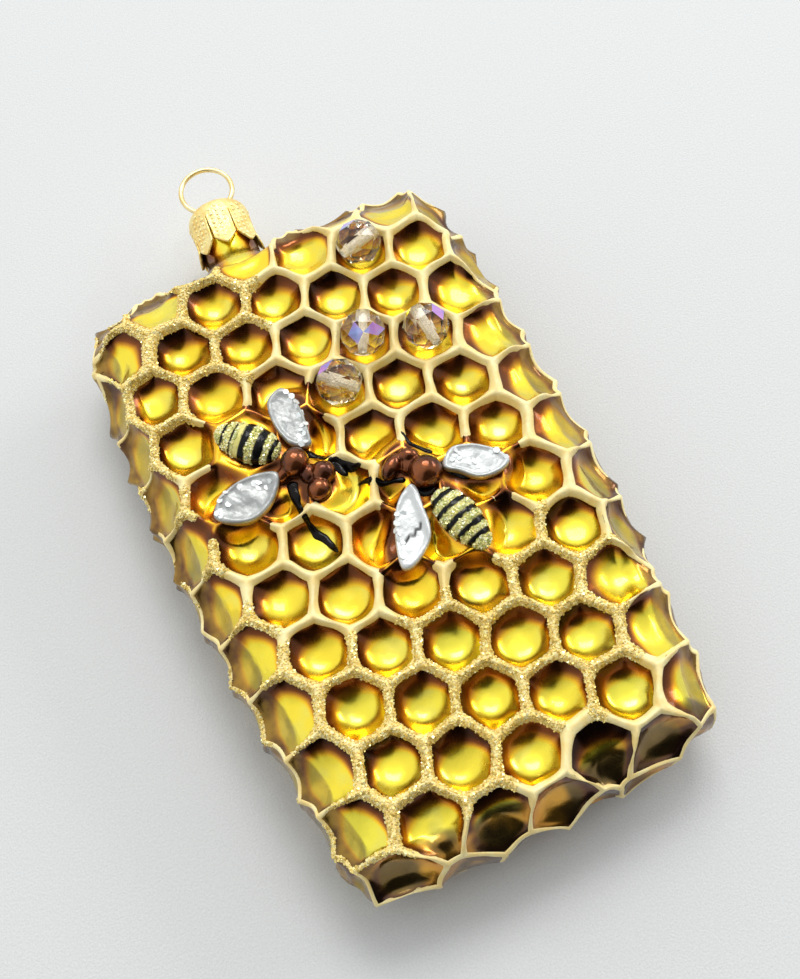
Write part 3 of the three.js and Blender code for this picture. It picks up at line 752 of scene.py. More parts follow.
def drawn(tree, low, high, seed, kind="FLOAT"):
    """A random value between two, as a node's output."""
    first, output = (0, 0) if kind == "FLOAT_VECTOR" else (2, 1)
    inputs = {first: low, first + 1: high, "Seed": seed}
    return node(tree, "FunctionNodeRandomValue", inputs, data_type=kind).outputs[output]


def named_mark(tree, name, kind):
    return node(tree, "GeometryNodeInputNamedAttribute", {"Name": name}, data_type=kind).outputs[0]


def set_out(tree, points, grain, turn, size):
    """Copies of an object, one on each point."""
    shape = node(tree, "GeometryNodeObjectInfo", {0: grain}).outputs["Geometry"]
    inputs = {"Points": points, "Instance": shape, "Rotation": turn, "Scale": size}
    return node(tree, "GeometryNodeInstanceOnPoints", inputs).outputs[0]


def finish_group(tree, copies, finish):
    real = node(tree, "GeometryNodeRealizeInstances", {0: copies}).outputs[0]
    coated = node(tree, "GeometryNodeSetMaterial", {"Geometry": real, "Material": finish}).outputs[0]
    node(tree, "NodeGroupOutput", {0: coated})


spots = node(sprinkler, "GeometryNodeDistributePointsOnFaces", {
    "Mesh": given["Carrier"], "Distance Min": given["Spacing"], "Density Max": given["Density"],
    "Density Factor": named_mark(sprinkler, "mask", "FLOAT"), "Seed": given["Seed"],
}, distribute_method="POISSON").outputs
most = node(sprinkler, "ShaderNodeCombineXYZ", {0: given["Tumble"], 1: given["Tumble"], 2: math.pi}).outputs[0]
least = node(sprinkler, "ShaderNodeVectorMath", {0: most, 3: -1.0}, operation="SCALE").outputs[0]
tumble = drawn(sprinkler, least, most, given["Seed"], "FLOAT_VECTOR")
turn = node(sprinkler, "FunctionNodeRotateRotation", {
    "Rotation": spots["Rotation"],
    "Rotate By": node(sprinkler, "FunctionNodeEulerToRotation", {0: tumble}).outputs[0],
}, rotation_space="LOCAL").outputs[0]
size = drawn(sprinkler, given["Smallest"], given["Largest"], given["Seed"])
grains = set_out(sprinkler, spots["Points"], given["Grain"], turn, size)
tinted = node(sprinkler, "GeometryNodeStoreNamedAttribute", {
    "Geometry": grains, "Name": "tint", "Value": drawn(sprinkler, 0.0, 1.0, 7),
}, data_type="FLOAT", domain="INSTANCE").outputs[0]
finish_group(sprinkler, tinted, given["Finish"])


def as_mesh(thing):
    """What an object's modifiers make of it, as a plain mesh."""
    return bpy.data.meshes.new_from_object(thing.evaluated_get(bpy.context.evaluated_depsgraph_get()))


def grown_on(carrier, group, settings):
    """What a group makes of its carrier with these settings, as a plain mesh."""
    modifier = carrier.modifiers.new(group.name, "NODES")
    modifier.node_group = group
    for item in group.interface.items_tree:
        if item.name in settings:
            modifier[item.identifier] = settings[item.name]
    mesh = as_mesh(carrier)
    carrier.modifiers.remove(modifier)
    return mesh


def sprinkle(name, carrier, slot, **settings):
    """A piece of grains that are scattered over a carrier by its mask."""
    return on_root(name, grown_on(carrier, sprinkler, settings), slot)


corners = [(x, y, z) for z in (-0.5, 0.5) for y in (-0.5, 0.5) for x in (-0.5, 0.5)]
sides = [(0, 2, 3, 1), (4, 5, 7, 6), (0, 1, 5, 4), (2, 6, 7, 3), (0, 4, 6, 2), (1, 3, 7, 5)]
crumb = new_object("crumb", new_mesh("crumb", corners, sides, 1))
CRUMB = {"Grain": crumb, "Smallest": 0.0002, "Largest": 0.00038, "Tumble": 3.1}

# Each grain of glitter takes one of a run of tones from dark to bright.
glint, given = new_group(
    "glint", "ShaderNodeTree", {"Dark": "Color", "Middle": "Color", "Bright": "Color"},
    {"Colour": "Color", "Roughness": "Float"},
)
tint = mark(glint, "tint")
duller = blend_colours(glint, between(glint, tint, 0.0, 0.4), given["Dark"], given["Middle"])
tone = blend_colours(glint, between(glint, tint, 0.5, 1.0), duller, given["Bright"])
node(glint, "NodeGroupOutput", {0: tone, 1: between(glint, tint, 0.0, 1.0, 0.4, 0.15)})


def glinting(name, dark, middle, bright, **constants):
    """A material for loose glitter."""
    values = {"Dark": (*dark, 1), "Middle": (*middle, 1), "Bright": (*bright, 1)}
    return grouped_material(name, glint, values, constants)


gold_sugar = glinting("gold_glitter", (0.62, 0.44, 0.09), (0.96, 0.76, 0.25), (1.0, 0.93, 0.5), Metallic=0.35)
sprinkle(
    "ridge_glitter", paint, "gold_glitter", **CRUMB, Spacing=0.00028, Density=1.5e7, Seed=3, Finish=gold_sugar,
)

# ---- The neck, cap and ring ---------------------------------------------------------------
# The glass is drawn out into a short neck. A stamped crown cap of gilt tin grips it with eight
# petals, and a bent wire ring is hooked through two holes in its top.

NECK_PLACE, NECK_LEAN = np.array([-3.0, 58.4, THICK / 2]), math.radians(5)


def on_neck(across, along, up):
    """Part millimetres for a place on the neck, measured from the middle of the cap's lower edge."""
    across, along, up = np.broadcast_arrays(across, along, up)
    return np.stack([*turned(across, along, -NECK_LEAN), up], axis=-1) + NECK_PLACE


def round_neck(radius, along, angle):
    return on_neck(radius * np.cos(angle), along, radius * np.sin(angle))


def skin_over(rings):
    """Points and faces of a closed skin through rings of equally many points, closed at each end."""
    count = len(rings[0])
    points = np.vstack([rings[0].mean(axis=0), *rings, rings[-1].mean(axis=0)])
    faces = []
    for k in range(count):
        after = (k + 1) % count
        faces.append((0, 1 + after, 1 + k))
        for row in range(len(rings) - 1):
            low, high = 1 + row * count, 1 + (row + 1) * count
            faces.append((low + k, low + after, high + after, high + k))
        faces.append((high + k, high + after, len(points) - 1))
    return points, faces


NECK_SIDES, NECK_RADIUS, NECK_FLARE, NECK_END = 64, 5.1, 2.6, [(4.7, 8.5), (3.6, 9.1), (1.5, 9.15)]
profile = [(NECK_RADIUS + NECK_FLARE * smooth_step(-y, 0.3, 6), y) for y in np.linspace(-11, 7.6, 40)] + NECK_END
angle = -np.arange(NECK_SIDES) / NECK_SIDES * 2 * math.pi
points, faces = skin_over([round_neck(radius, y, angle) for radius, y in profile])
# Painted shade: the neck is painted darker brown towards its sides.
neck_side_shade = 0.85 * smooth_step(np.abs(points[:, 0] - NECK_PLACE[0]) / 5.5, 0.2, 0.85)
make_piece("neck", points, faces, amber, "amber_glass", wall=neck_side_shade, lemon=np.full(len(points), 0.9))

PETALS, CAP_RADIUS, TIP_HEIGHT, SLIT_TOP, SLIT_HALF, TIN, EDGE_BEAD = 8, 5.75, 2.1, 8.0, 0.045, 0.4, 0.11
PETAL_COLUMNS = np.array([-1, -0.93, -0.84, -0.6, -0.4, -0.2, 0, 0.2, 0.4, 0.6, 0.84, 0.93, 1])
PETAL_ROWS = [0, 0.05, 0.11, 0.25, 0.4, 0.55, 0.7, 0.85]
CAP_RINGS = [
    (5.75, 8.0), (5.75, 8.6), (5.68, 9.2), (5.45, 9.75), (5.05, 10.2), (4.5, 10.47), (3.6, 10.55), (2.4, 10.6),
    (1.0, 10.6),
]
cap_points, cap_faces = [], []


def petal_radius(y, column):
    """A petal flares at its tip and is a little flat across its middle."""
    flare = 0.5 * (1 - smooth_step(y, 0, 3.5))
    return CAP_RADIUS + flare - 0.22 * (1 - column**2) * (1 - smooth_step(y, 6, 9))


def petal_row(petal, climb):
    """One row of points across a petal, from its pointed tip at 0 up to the slit's end at 1."""
    tip = TIP_HEIGHT * np.abs(PETAL_COLUMNS) ** 1.15
    y = tip + (SLIT_TOP - tip) * climb
    across = PETAL_COLUMNS * (math.pi / PETALS - SLIT_HALF * (1 - climb) ** 0.6)
    edge = np.maximum(smooth_step(np.abs(PETAL_COLUMNS), 0.8, 0.9), 1 - smooth_step(climb, 0.05, 0.14))
    raised = EDGE_BEAD * edge * (1 - smooth_step(y, 6.5, 8))
    radius = petal_radius(y, PETAL_COLUMNS) + raised + 0.1 * PETAL_COLUMNS * (1 - climb)
    return round_neck(radius, y, -(petal * 2 * math.pi / PETALS + across))


def join_rows(low, high):
    for k in range(len(low) - 1):
        cap_faces.append((low[k], low[k + 1], high[k + 1], high[k]))


steps = len(PETAL_COLUMNS) - 1
angle = -(2 * np.repeat(np.arange(PETALS), steps) + np.tile(PETAL_COLUMNS[:-1], PETALS)) * math.pi / PETALS
rings = [added(cap_points, round_neck(radius, y, angle)) for radius, y in CAP_RINGS]
rings = [ring + ring[:1] for ring in rings]
for low, high in zip(rings, rings[1:]):
    join_rows(low, high)
middle = added(cap_points, [on_neck(0, CAP_RINGS[-1][1], 0)])[0]
cap_faces += [(start, end, middle) for start, end in zip(rings[-1], rings[-1][1:])]
for petal in range(PETALS):
    rows = [added(cap_points, petal_row(petal, climb)) for climb in PETAL_ROWS]
    rows.append(rings[0][petal * steps:(petal + 1) * steps + 1])
    for low, high in zip(rows, rows[1:]):
        join_rows(low, high)


def finish_with(piece, *modifiers):
    """Applies modifiers, each a kind and its settings, and keeps the result as a plain mesh."""
    for kind, settings in modifiers:
        modifier = piece.modifiers.new(kind.lower(), kind)
        for setting, value in settings.items():
            setattr(modifier, setting, value)
    mesh = as_mesh(piece)
    piece.modifiers.clear()
    piece.data = mesh
    mesh.shade_smooth()


gilt = speckled(
    "gilt_tin", (0.95, 0.66, 0.2), (1.0, 0.84, 0.36), 500, (0.28, 0.45), (1600, 0.00022), Metallic=0.65,
)
# Painted highlight: the raised dots get a paler, brighter copy of the gilt.
highlit_gilt = speckled(
    "gilt_painted_highlight", (1.0, 0.78, 0.3), (1.0, 0.9, 0.5), 900, (0.2, 0.35), (1600, 0.0001), Metallic=0.3,
)
cap = make_piece("crown_cap", cap_points, cap_faces, gilt, "cap_metal")
finish_with(cap, ("SOLIDIFY", {"thickness": TIN * MM, "offset": -1}))
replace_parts(cap, "cap")

# The dots pressed into the petals stand in rows.
dotter, given = new_group(
    "pressed_dots", "GeometryNodeTree",
    {"Places": "Geometry", "Dot": "Object", "Smallest": "Float", "Largest": "Float", "Finish": "Material"},
    {"Dots": "Geometry"},
)
facing = named_mark(dotter, "facing", "FLOAT_VECTOR")
upright = node(dotter, "FunctionNodeAlignRotationToVector", {"Vector": facing}, axis="Z").outputs[0]
size = drawn(dotter, given["Smallest"], given["Largest"], 5)
finish_group(dotter, set_out(dotter, given["Places"], given["Dot"], upright, size), given["Finish"])


def six_sided(name, rings):
    """A small solid through hexagons of a radius and height, to be set out many times."""
    points = [
        (radius * math.cos(k * math.pi / 3), radius * math.sin(k * math.pi / 3), height)
        for radius, height in rings for k in range(6)
    ]
    faces = [
        (row + k, row + (k + 1) % 6, row + 6 + (k + 1) % 6, row + 6 + k)
        for row in range(0, len(points) - 6, 6) for k in range(6)
    ]
    faces += [tuple(range(len(points) - 6, len(points))), (5, 4, 3, 2, 1, 0)]
    return new_object(name, new_mesh(name, points, faces, 1))


DOT_ROWS, DOT_COLUMNS, DOT_START, DOT_STEP, DOT_STAGGER = 8, (-0.52, 0, 0.52), 1.5, 0.95, 0.45
dot = six_sided("dot", [(0.5, -0.3), (0.46, 0.06), (0.26, 0.15)])
places, ways = [], []
for petal in range(PETALS):
    for row in range(DOT_ROWS):
        for column in DOT_COLUMNS:
            y = DOT_START + row * DOT_STEP + (DOT_STAGGER if column == 0 else 0)
            angle = -(petal + column / 2) * 2 * math.pi / PETALS
            places.append(round_neck(petal_radius(y, column), y, angle))
            ways.append(round_neck(1, 0, angle) - NECK_PLACE)
stand = new_object("dot_places", new_mesh("dot_places", places, []))
facing = stand.data.attributes.new("facing", "FLOAT_VECTOR", "POINT")
facing.data.foreach_set("vector", np.array(ways, np.float32).ravel())
pressed = grown_on(stand, dotter, {"Dot": dot, "Smallest": 0.0006, "Largest": 0.0009, "Finish": highlit_gilt})
bpy.data.objects.remove(stand)
pressed.shade_smooth()
on_root("cap_dots", pressed, "cap_metal")


def sweep(path, ups, halves, heights, sides):
    """Rings of an oval section along a path, with the oval's height along the given ups."""
    along = np.gradient(path, axis=0)
    along /= np.linalg.norm(along, axis=1)[:, None]
    across = np.cross(along, ups)
    across /= np.linalg.norm(across, axis=1)[:, None]
    up = np.cross(across, along)
    angle = np.arange(sides) / sides * 2 * math.pi
    halves, heights = np.broadcast_to(halves, len(path)), np.broadcast_to(heights, len(path))
    return [
        path[k] + halves[k] * np.sin(angle)[:, None] * across[k] + heights[k] * np.cos(angle)[:, None] * up[k]
        for k in range(len(path))
    ]


WIRE_HALF, RING_RADIUS, RING_CENTRE, FOOT_ASIDE, FOOT_END, FOOT_TOP = 0.47, 4.85, 16.2, 2, 9.3, 10.6
foot_turn = math.asin(FOOT_ASIDE / RING_RADIUS)
angle = -math.pi / 2 - foot_turn - np.linspace(0, 1, 90) * 2 * (math.pi - foot_turn)
loop_x = np.concatenate([[-FOOT_ASIDE] * 2, RING_RADIUS * np.cos(angle), [FOOT_ASIDE] * 2])
loop_y = np.concatenate([[FOOT_END, FOOT_TOP], RING_CENTRE + RING_RADIUS * np.sin(angle), [FOOT_TOP, FOOT_END]])
points, faces = skin_over(sweep(on_neck(loop_x, loop_y, 0.0), np.array([0, 0, 1.0]), WIRE_HALF, WIRE_HALF, 14))
brass = speckled(
    "brass_wire", (0.8, 0.58, 0.22), (0.96, 0.8, 0.42), 300, (0.26, 0.4), (1300, 0.00008), Metallic=0.85,
)
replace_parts(make_piece("wire_ring", points, faces, brass, "ring_wire"), "hanging_ring")

# ---- The crystal beads --------------------------------------------------------------------
# Fire-polished crystal beads with an iridescent coat are glued on their sides into four cells.
# Their cut facets are flat and the bore through each is left frosted.

crystal = speckled(
    "coated_crystal", (1.0, 0.88, 0.62), (1.0, 0.92, 0.74), 300, (0.0, 0.04), (500, 0.00002),
    Transmission_Weight=1.0, IOR=1.38, Coat_Weight=0.35, Coat_IOR=1.7, Coat_Roughness=0.02,
)
frosted = speckled(
    "frosted_bore", (1.0, 0.93, 0.8), (1, 0.98, 0.92), 2200, (0.2, 0.4), (3000, 0.0002), Transmission_Weight=0.3,
)
film = speckled(
    "violet_film_on_crystal", (0.66, 0.32, 0.92), (0.28, 0.44, 1.0), 260, (0.03, 0.12), (500, 0.00002),
    Transmission_Weight=0.35, IOR=1.4, Coat_Weight=0.6,
)

FACETS, FILMED_FACES, BEAD_HEIGHT = 8, 2, THICK + 1.8
# Radius, place along the bore and turn, in facets, of each ring of corners from end to end.
BEAD_END = [(0.78, 3.5, 0), (2.2, 3.3, 0), (3.5, 1.85, 0.5)]
BEAD_ROWS = BEAD_END + [(3.98, 0, 0)] + [(radius, -place, offset) for radius, place, offset in BEAD_END[::-1]]
# Cell, turn of the bore, roll about it, and where the film catches the light.
BEAD_CELLS = [
    ("2,4", 15, 0.42, [(-0.42, 0.62, 0.66)]),
    ("1,2", 64, 0.62, [(-0.52, -0.12, 0.82), (0.42, -0.6, 0.66)]),
    ("2,2", 93, 0.4, [(0.62, 0.3, 0.72)]),
    ("0,2", -46, 0.52, [(-0.35, 0.7, 0.62)]),
]


def cut_bead(middle, turn, roll):
    """Points and faces of a faceted bead lying on its side, its bore along the turn."""
    points, faces = [], []
    axis = np.append(reach_out(np.zeros(2), 1, turn), 0)
    side, up = np.array([-axis[1], axis[0], 0]), np.array([0, 0, 1])
    for radius, place, offset in BEAD_ROWS:
        for k in range(FACETS):
            angle = (k + offset + roll) / FACETS * 2 * math.pi
            points.append(middle - axis * place + radius * (side * math.cos(angle) + up * math.sin(angle)))
    for low in range(len(BEAD_ROWS)):
        high = (low + 1) % len(BEAD_ROWS)
        step = BEAD_ROWS[high][2] - BEAD_ROWS[low][2]
        for k in range(FACETS):
            after = (k + 1) % FACETS
            a, b, c, d = (row * FACETS + place for row, place in ((low, k), (low, after), (high, after), (high, k)))
            if step == 0:
                faces.append((a, b, c, d))
            else:
                faces += [(a, b, d), (b, c, d)] if step > 0 else [(a, c, d), (a, b, c)]
    return points, faces


for number, (name, turn, roll, glances) in enumerate(BEAD_CELLS, 1):
    flat = next(cell.place for cell in front if cell.name == name)
    points, faces = cut_bead(np.array([*flat, BEAD_HEIGHT]), turn, roll)
    bead = make_piece(f"crystal_{number}", points, faces, crystal, "crystal")
    bead.data.shade_flat()
    bead.data.materials.append(frosted)
    bead.data.materials.append(film)
    outside, bore = bead.data.polygons[:-FACETS], bead.data.polygons[-FACETS:]
    for glance in glances:
        for polygon in sorted(outside, key=lambda polygon: -polygon.normal.dot(Vector(glance)))[:FILMED_FACES]:
            polygon.material_index = 2
    for polygon in bore:
        polygon.material_index = 1
    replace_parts(bead, f"bead_{number}")

# ---- The bees -----------------------------------------------------------------------------
# Two bees are moulded in relief in the same glass and painted: copper brown head and thorax,
# banded abdomen with glitter, silver wings with clear flakes, and legs drawn in black enamel.

copper = speckled(
    "brown_pearl_enamel", (0.055, 0.013, 0.005), (0.27, 0.078, 0.02), 240, (0.16, 0.26), (600, 0.00012),
    Metallic=0.85, Coat_Weight=0.35, Coat_Roughness=0.1,
)
HEAD_GRAIN = 0.14
# Middle, half sizes and turn of each ball that a head and thorax are made of.
LUMPS = [
    [
        ((-10.9, 11.5, 21.9), (2.55, 2.35, 2.5), 40), ((-13.3, 10.6, 21.2), (1.7, 1.2, 1.5), 20),
        ((-9.4, 8.8, 21.0), (1.9, 1.7, 1.7), 0), ((-7.5, 7.9, 21.6), (2.1, 2.0, 2.1), 0),
        ((-9.3, 5.6, 21.5), (2.05, 1.95, 2.0), 0),
    ],
    [
        ((7.15, 0.35, 22.0), (2.8, 2.75, 2.8), 0), ((5.6, 2.9, 21.0), (1.9, 1.6, 1.6), 0),
        ((5.9, 4.1, 21.5), (1.95, 1.4, 1.7), -27), ((2.7, 3.7, 21.4), (2.5, 1.45, 1.75), 38),
    ],
]


def oval_ring(x, y, z, sides, middle, turn):
    """A ring whose x, y and z each have a start, a share of the cosine and one of the sine round it."""
    angle = np.arange(sides) / sides * 2 * math.pi
    x, y, z = (start + across * np.cos(angle) + up * np.sin(angle) for start, across, up in (x, y, z))
    return np.stack([*turned(x, y, math.radians(turn)), z], axis=-1) + np.array(middle)


def add_skin(points, faces, rings):
    """Adds the closed skin through rings to a piece's points and faces."""
    more, skins = skin_over(rings)
    faces += [tuple(len(points) + k for k in face) for face in skins]
    points.extend(more)


for number, lumps in enumerate(LUMPS, 1):
    points, faces = [], []
    for middle, (long, wide, high), turn in lumps:
        rings = []
        for t in np.linspace(-math.pi / 2, math.pi / 2, 16)[1:-1]:
            axes = (0, long * math.cos(t), 0), (0, 0, wide * math.cos(t)), (high * math.sin(t), 0, 0)
            rings.append(oval_ring(*axes, 28, middle, turn))
        add_skin(points, faces, rings)
    body = make_piece(f"bee_{number}_head", points, faces, copper, "brown_enamel")
    merged, smoothed = {"mode": "VOXEL", "voxel_size": HEAD_GRAIN * MM}, {"factor": 0.5, "iterations": 5}
    finish_with(body, ("REMESH", merged), ("SMOOTH", smoothed))

banded = speckled(
    "banded_enamel", (0.6, 0.54, 0.13), (0.88, 0.8, 0.3), 500, (0.1, 0.2), (900, 0.00018), Specular_IOR_Level=0.2,
)
tree, colour, pale = colour_of(banded)
tree.links.new(blend_colours(tree, mark(tree, "black"), pale, (0.003, 0.003, 0.003, 1)), colour)
green_sugar = glinting(
    "green_gold_glitter", (0.45, 0.5, 0.16), (0.92, 0.86, 0.38), (0.98, 1.0, 0.74), Metallic=0.35,
)

BAND_SIDES, BAND_BLUR, BAND_RISE, GLITTER_FROM = 48, 0.008, 0.03, 20.8
# The bands are given from tail to waist as shares of the length. A plain one has no glitter.
ABDOMENS = [
    {
        "middle": (-16.3, 18.4, 21.5), "turn": 133, "half_sizes": (5.6, 3.1, 2.5), "plain": (0.55, 0.63),
        "black": [(0.05, 0.12), (0.2, 0.33), (0.44, 0.55), (0.67, 0.71), (0.81, 0.87)],
    },
    {
        "middle": (8.6, -9.4, 21.5), "turn": -76, "half_sizes": (6.0, 3.0, 2.5), "plain": (0, 0),
        "black": [(0.09, 0.17), (0.27, 0.35), (0.46, 0.54), (0.64, 0.72), (0.8, 0.87)],
    },
]
for number, abdomen in enumerate(ABDOMENS, 1):
    (long, wide, high), (plain_from, plain_to) = abdomen["half_sizes"], abdomen["plain"]
    tilt, rings = np.linspace(0, math.pi, 74)[1:-1], []
    for t in tilt:
        girth = math.sin(t) ** 0.8 * (1.04 - 0.2 * smooth_step(-math.cos(t), -0.1, 1))
        axes = (-long * math.cos(t), 0, 0), (0, wide * girth, 0), (0, 0, high * girth)
        rings.append(oval_ring(*axes, BAND_SIDES, abdomen["middle"], abdomen["turn"]))
    points, faces = skin_over(rings)
    share = np.concatenate([[0], np.repeat((1 - np.cos(tilt)) / 2, BAND_SIDES), [1]])
    share = share + 0.014 * wave(points, 1.6, 20 + number)
    black = 0
    for start, end in abdomen["black"]:
        begun, ended = (smooth_step(share, edge - BAND_BLUR, edge + BAND_BLUR) for edge in (start, end))
        black = black + begun * (1 - ended)
    points += (points - np.array(abdomen["middle"])) * (BAND_RISE * black)[:, None]
    glittered = (black < 0.3) * (points[:, 2] > GLITTER_FROM) * ((share <= plain_from) | (share >= plain_to))
    marks = {"black": black, "mask": (1 - black) * glittered}
    belly = make_piece(f"bee_{number}_abdomen", points, faces, banded, "black_enamel", **marks)
    sprinkle(
        f"bee_{number}_glitter", belly, "gold_glitter", **CRUMB, Spacing=0.00022, Density=2.2e7, Seed=8 + number,
        Finish=green_sugar,
    )

silver = speckled(
    "silver_wing_paint", (0.33, 0.34, 0.33), (0.47, 0.48, 0.46), 600, (0.3, 0.45), (900, 0.00018), Metallic=0.35,
)
tree, colour, shade = colour_of(silver)
for name, tone in ("bright", (0.7, 0.72, 0.71)), ("crease", (0.03, 0.025, 0.02)), ("side", (0.85, 0.52, 0.07)):
    shade = blend_colours(tree, mark(tree, name), shade, (*tone, 1))
tree.links.new(shade, colour)
flake_paint = glinting("clear_flake", (0.62, 0.66, 0.65), (0.85, 0.88, 0.87), (1, 1, 0.98), Metallic=0.1)
flake = six_sided("flake", [(0.5, -0.12), (0.5, 0.06)])

# A wing's raised rim is given by the way across it, and its crease and flakes by places.
WINGS = [
    {
        "bright": 0.0,
        "outline": [
            (-8.9, 13.6), (-10.5, 15.5), (-11.1, 19.8), (-10.2, 23.4), (-7.5, 24.4), (-6.3, 22.4), (-6.1, 18.8),
            (-6.6, 15.4), (-7.2, 13.3),
        ],
        "flakes": [
            (-6.7, 23.3), (-7.2, 22.7), (-6.2, 22.2), (-6.1, 21.5), (-7.6, 21.6), (-6.5, 20.4), (-6.2, 19.2),
            (-6.4, 18.3), (-7.0, 17.0), (-7.2, 15.9), (-7.9, 15.1), (-7.8, 14.0), (-8.8, 14.1),
        ],
    },
    {
        "bright": 0.0,
        "outline": [
            (-14.2, 10.6), (-16.3, 12.1), (-20.0, 12.5), (-23.7, 11.5), (-26.1, 8.9), (-24.1, 6.5), (-20.6, 5.5),
            (-16.9, 7.0),
        ],
        "flakes": [
            (-15.4, 10.5), (-16.9, 10.8), (-16.5, 9.8), (-23.1, 11.5), (-24.1, 10.8), (-23.7, 9.8), (-25.4, 9.3),
            (-24.5, 8.8), (-25.6, 8.4), (-25.2, 7.7), (-21.9, 12.4), (-18.3, 11.0), (-17.7, 9.9), (-19.2, 10.5),
            (-20.4, 11.3),
        ],
    },
    {
        "bright": 0.5,
        "outline": [
            (10.1, -0.3), (12.4, 1.9), (15.6, 1.2), (18.8, -1.4), (19.9, -4.0), (17.7, -5.1), (14.4, -4.6),
            (12.0, -2.2),
        ],
        "flakes": [
            (11.6, 0.5), (12.4, 0.7), (13.0, 0.9), (13.4, -0.4), (14.0, -1.3), (14.9, -2.1), (15.3, -3.0),
            (16.5, -2.0), (17.7, -1.9), (18.8, -1.8), (19.1, -3.3), (18.1, -3.5), (17.2, -3.2), (15.5, -3.8),
            (16.0, -1.2),
        ],
    },
    {
        "bright": 0.85, "rim": (0.9, -0.1),
        "crease": [(2.4, -7.3), (1.9, -8.1), (1.2, -7.9), (0.6, -8.7), (-0.2, -8.4), (-1.3, -9.1)],
        "outline": [
            (3.2, -0.9), (1.2, -2.1), (-0.6, -4.3), (-2.2, -7.6), (-3.3, -10.9), (-3.3, -12.6), (-1.9, -13.0),
            (0.6, -11.8), (2.7, -10.0), (3.7, -7.6), (4.0, -4.9), (4.4, -2.6), (4.3, -1.2),
        ],
        "flakes": [
            (2.0, -1.5), (1.9, -2.4), (1.5, -2.2), (0.2, -4.2), (-0.5, -4.8), (-1.0, -5.2), (-1.1, -6.3),
            (-1.0, -7.0), (-1.7, -8.0), (-1.8, -8.7), (-2.7, -11.1), (-2.1, -11.6),
        ],
    },
]
# Share of the outline and height of each ring of a wing, over its raised edge to its middle.
WING_ROWS = [
    (0.5, 19.9), (0.96, 20.0), (1.02, 21.2), (1.03, 22.0), (1.01, 22.35), (0.97, 22.5), (0.92, 22.55),
    (0.86, 22.48), (0.8, 22.38), (0.74, 22.32), *((share, 22.3) for share in np.linspace(0.68, 0.04, 17)),
]
WING_SIDES, WING_TOP, RIM_RISE, CREASE_HALF, CREASE_DEPTH, FLAKED = 80, (21.7, 22.2), 0.55, 0.17, 0.3, 0.55


def smooth_loop(corners, count):
    """A closed curve through the corners, as evenly stepped points, anticlockwise."""
    corners = np.array(corners, float)
    share = np.arange(count) / count * len(corners)
    k, t = np.floor(share).astype(int), (share % 1)[:, None]
    a, b, c, d = (corners[(k + step) % len(corners)] for step in (-1, 0, 1, 2))
    loop = 0.5 * (2 * b + (c - a) * t + (2 * a - 5 * b + 4 * c - d) * t**2 + (3 * b - a - 3 * c + d) * t**3)
    return loop if np.cross(loop, np.roll(loop, -1, axis=0)).sum() > 0 else loop[::-1]


for number, wing in enumerate(WINGS, 1):
    outline = smooth_loop(wing["outline"], WING_SIDES)
    middle = outline.mean(axis=0)
    points, faces = skin_over([
        np.column_stack([middle + (outline - middle) * share, np.full(WING_SIDES, height)])
        for share, height in WING_ROWS
    ])
    top, side = points[:, 2] > WING_TOP[1], 1 - smooth_step(points[:, 2], *WING_TOP)
    points[:, 2] += top * (0.12 * wave(points, 3.5, 30 + number) + 0.03 * wave(points, 1.1, 40 + number))
    if "rim" in wing:
        across = (points[:, :2] - middle) @ np.array(wing["rim"])
        points[:, 2] += top * RIM_RISE * np.exp(-(((across - 0.72 * across.max()) / 0.5) ** 2))
    crease, spots = np.zeros(len(points)), np.array(wing.get("crease", []))
    for start, end in zip(spots, spots[1:]):
        crease = np.maximum(crease, np.exp(-((line_distance(points[:, :2], start, end) / CREASE_HALF) ** 2)))
    points[:, 2] -= top * CREASE_DEPTH * crease
    near = np.min(np.linalg.norm(points[:, None, :2] - np.array(wing["flakes"])[None], axis=2), axis=1)
    blade = make_piece(
        f"wing_{number}", points, faces, silver, "silver_paint", side=side,
        bright=np.full(len(points), wing["bright"]), crease=crease * top, mask=(near < FLAKED) * top,
    )
    sprinkle(
        f"wing_{number}_flakes", blade, "silver_paint", Grain=flake, Spacing=0.0007, Density=8e6,
        Smallest=0.0009, Largest=0.0013, Tumble=0.3, Seed=12 + number, Finish=flake_paint,
    )

enamel = speckled(
    "black_enamel", (0.002, 0.002, 0.002), (0.008, 0.005, 0.004), 700, (0.04, 0.1), (800, 0.00015),
    Specular_IOR_Level=0.16,
)
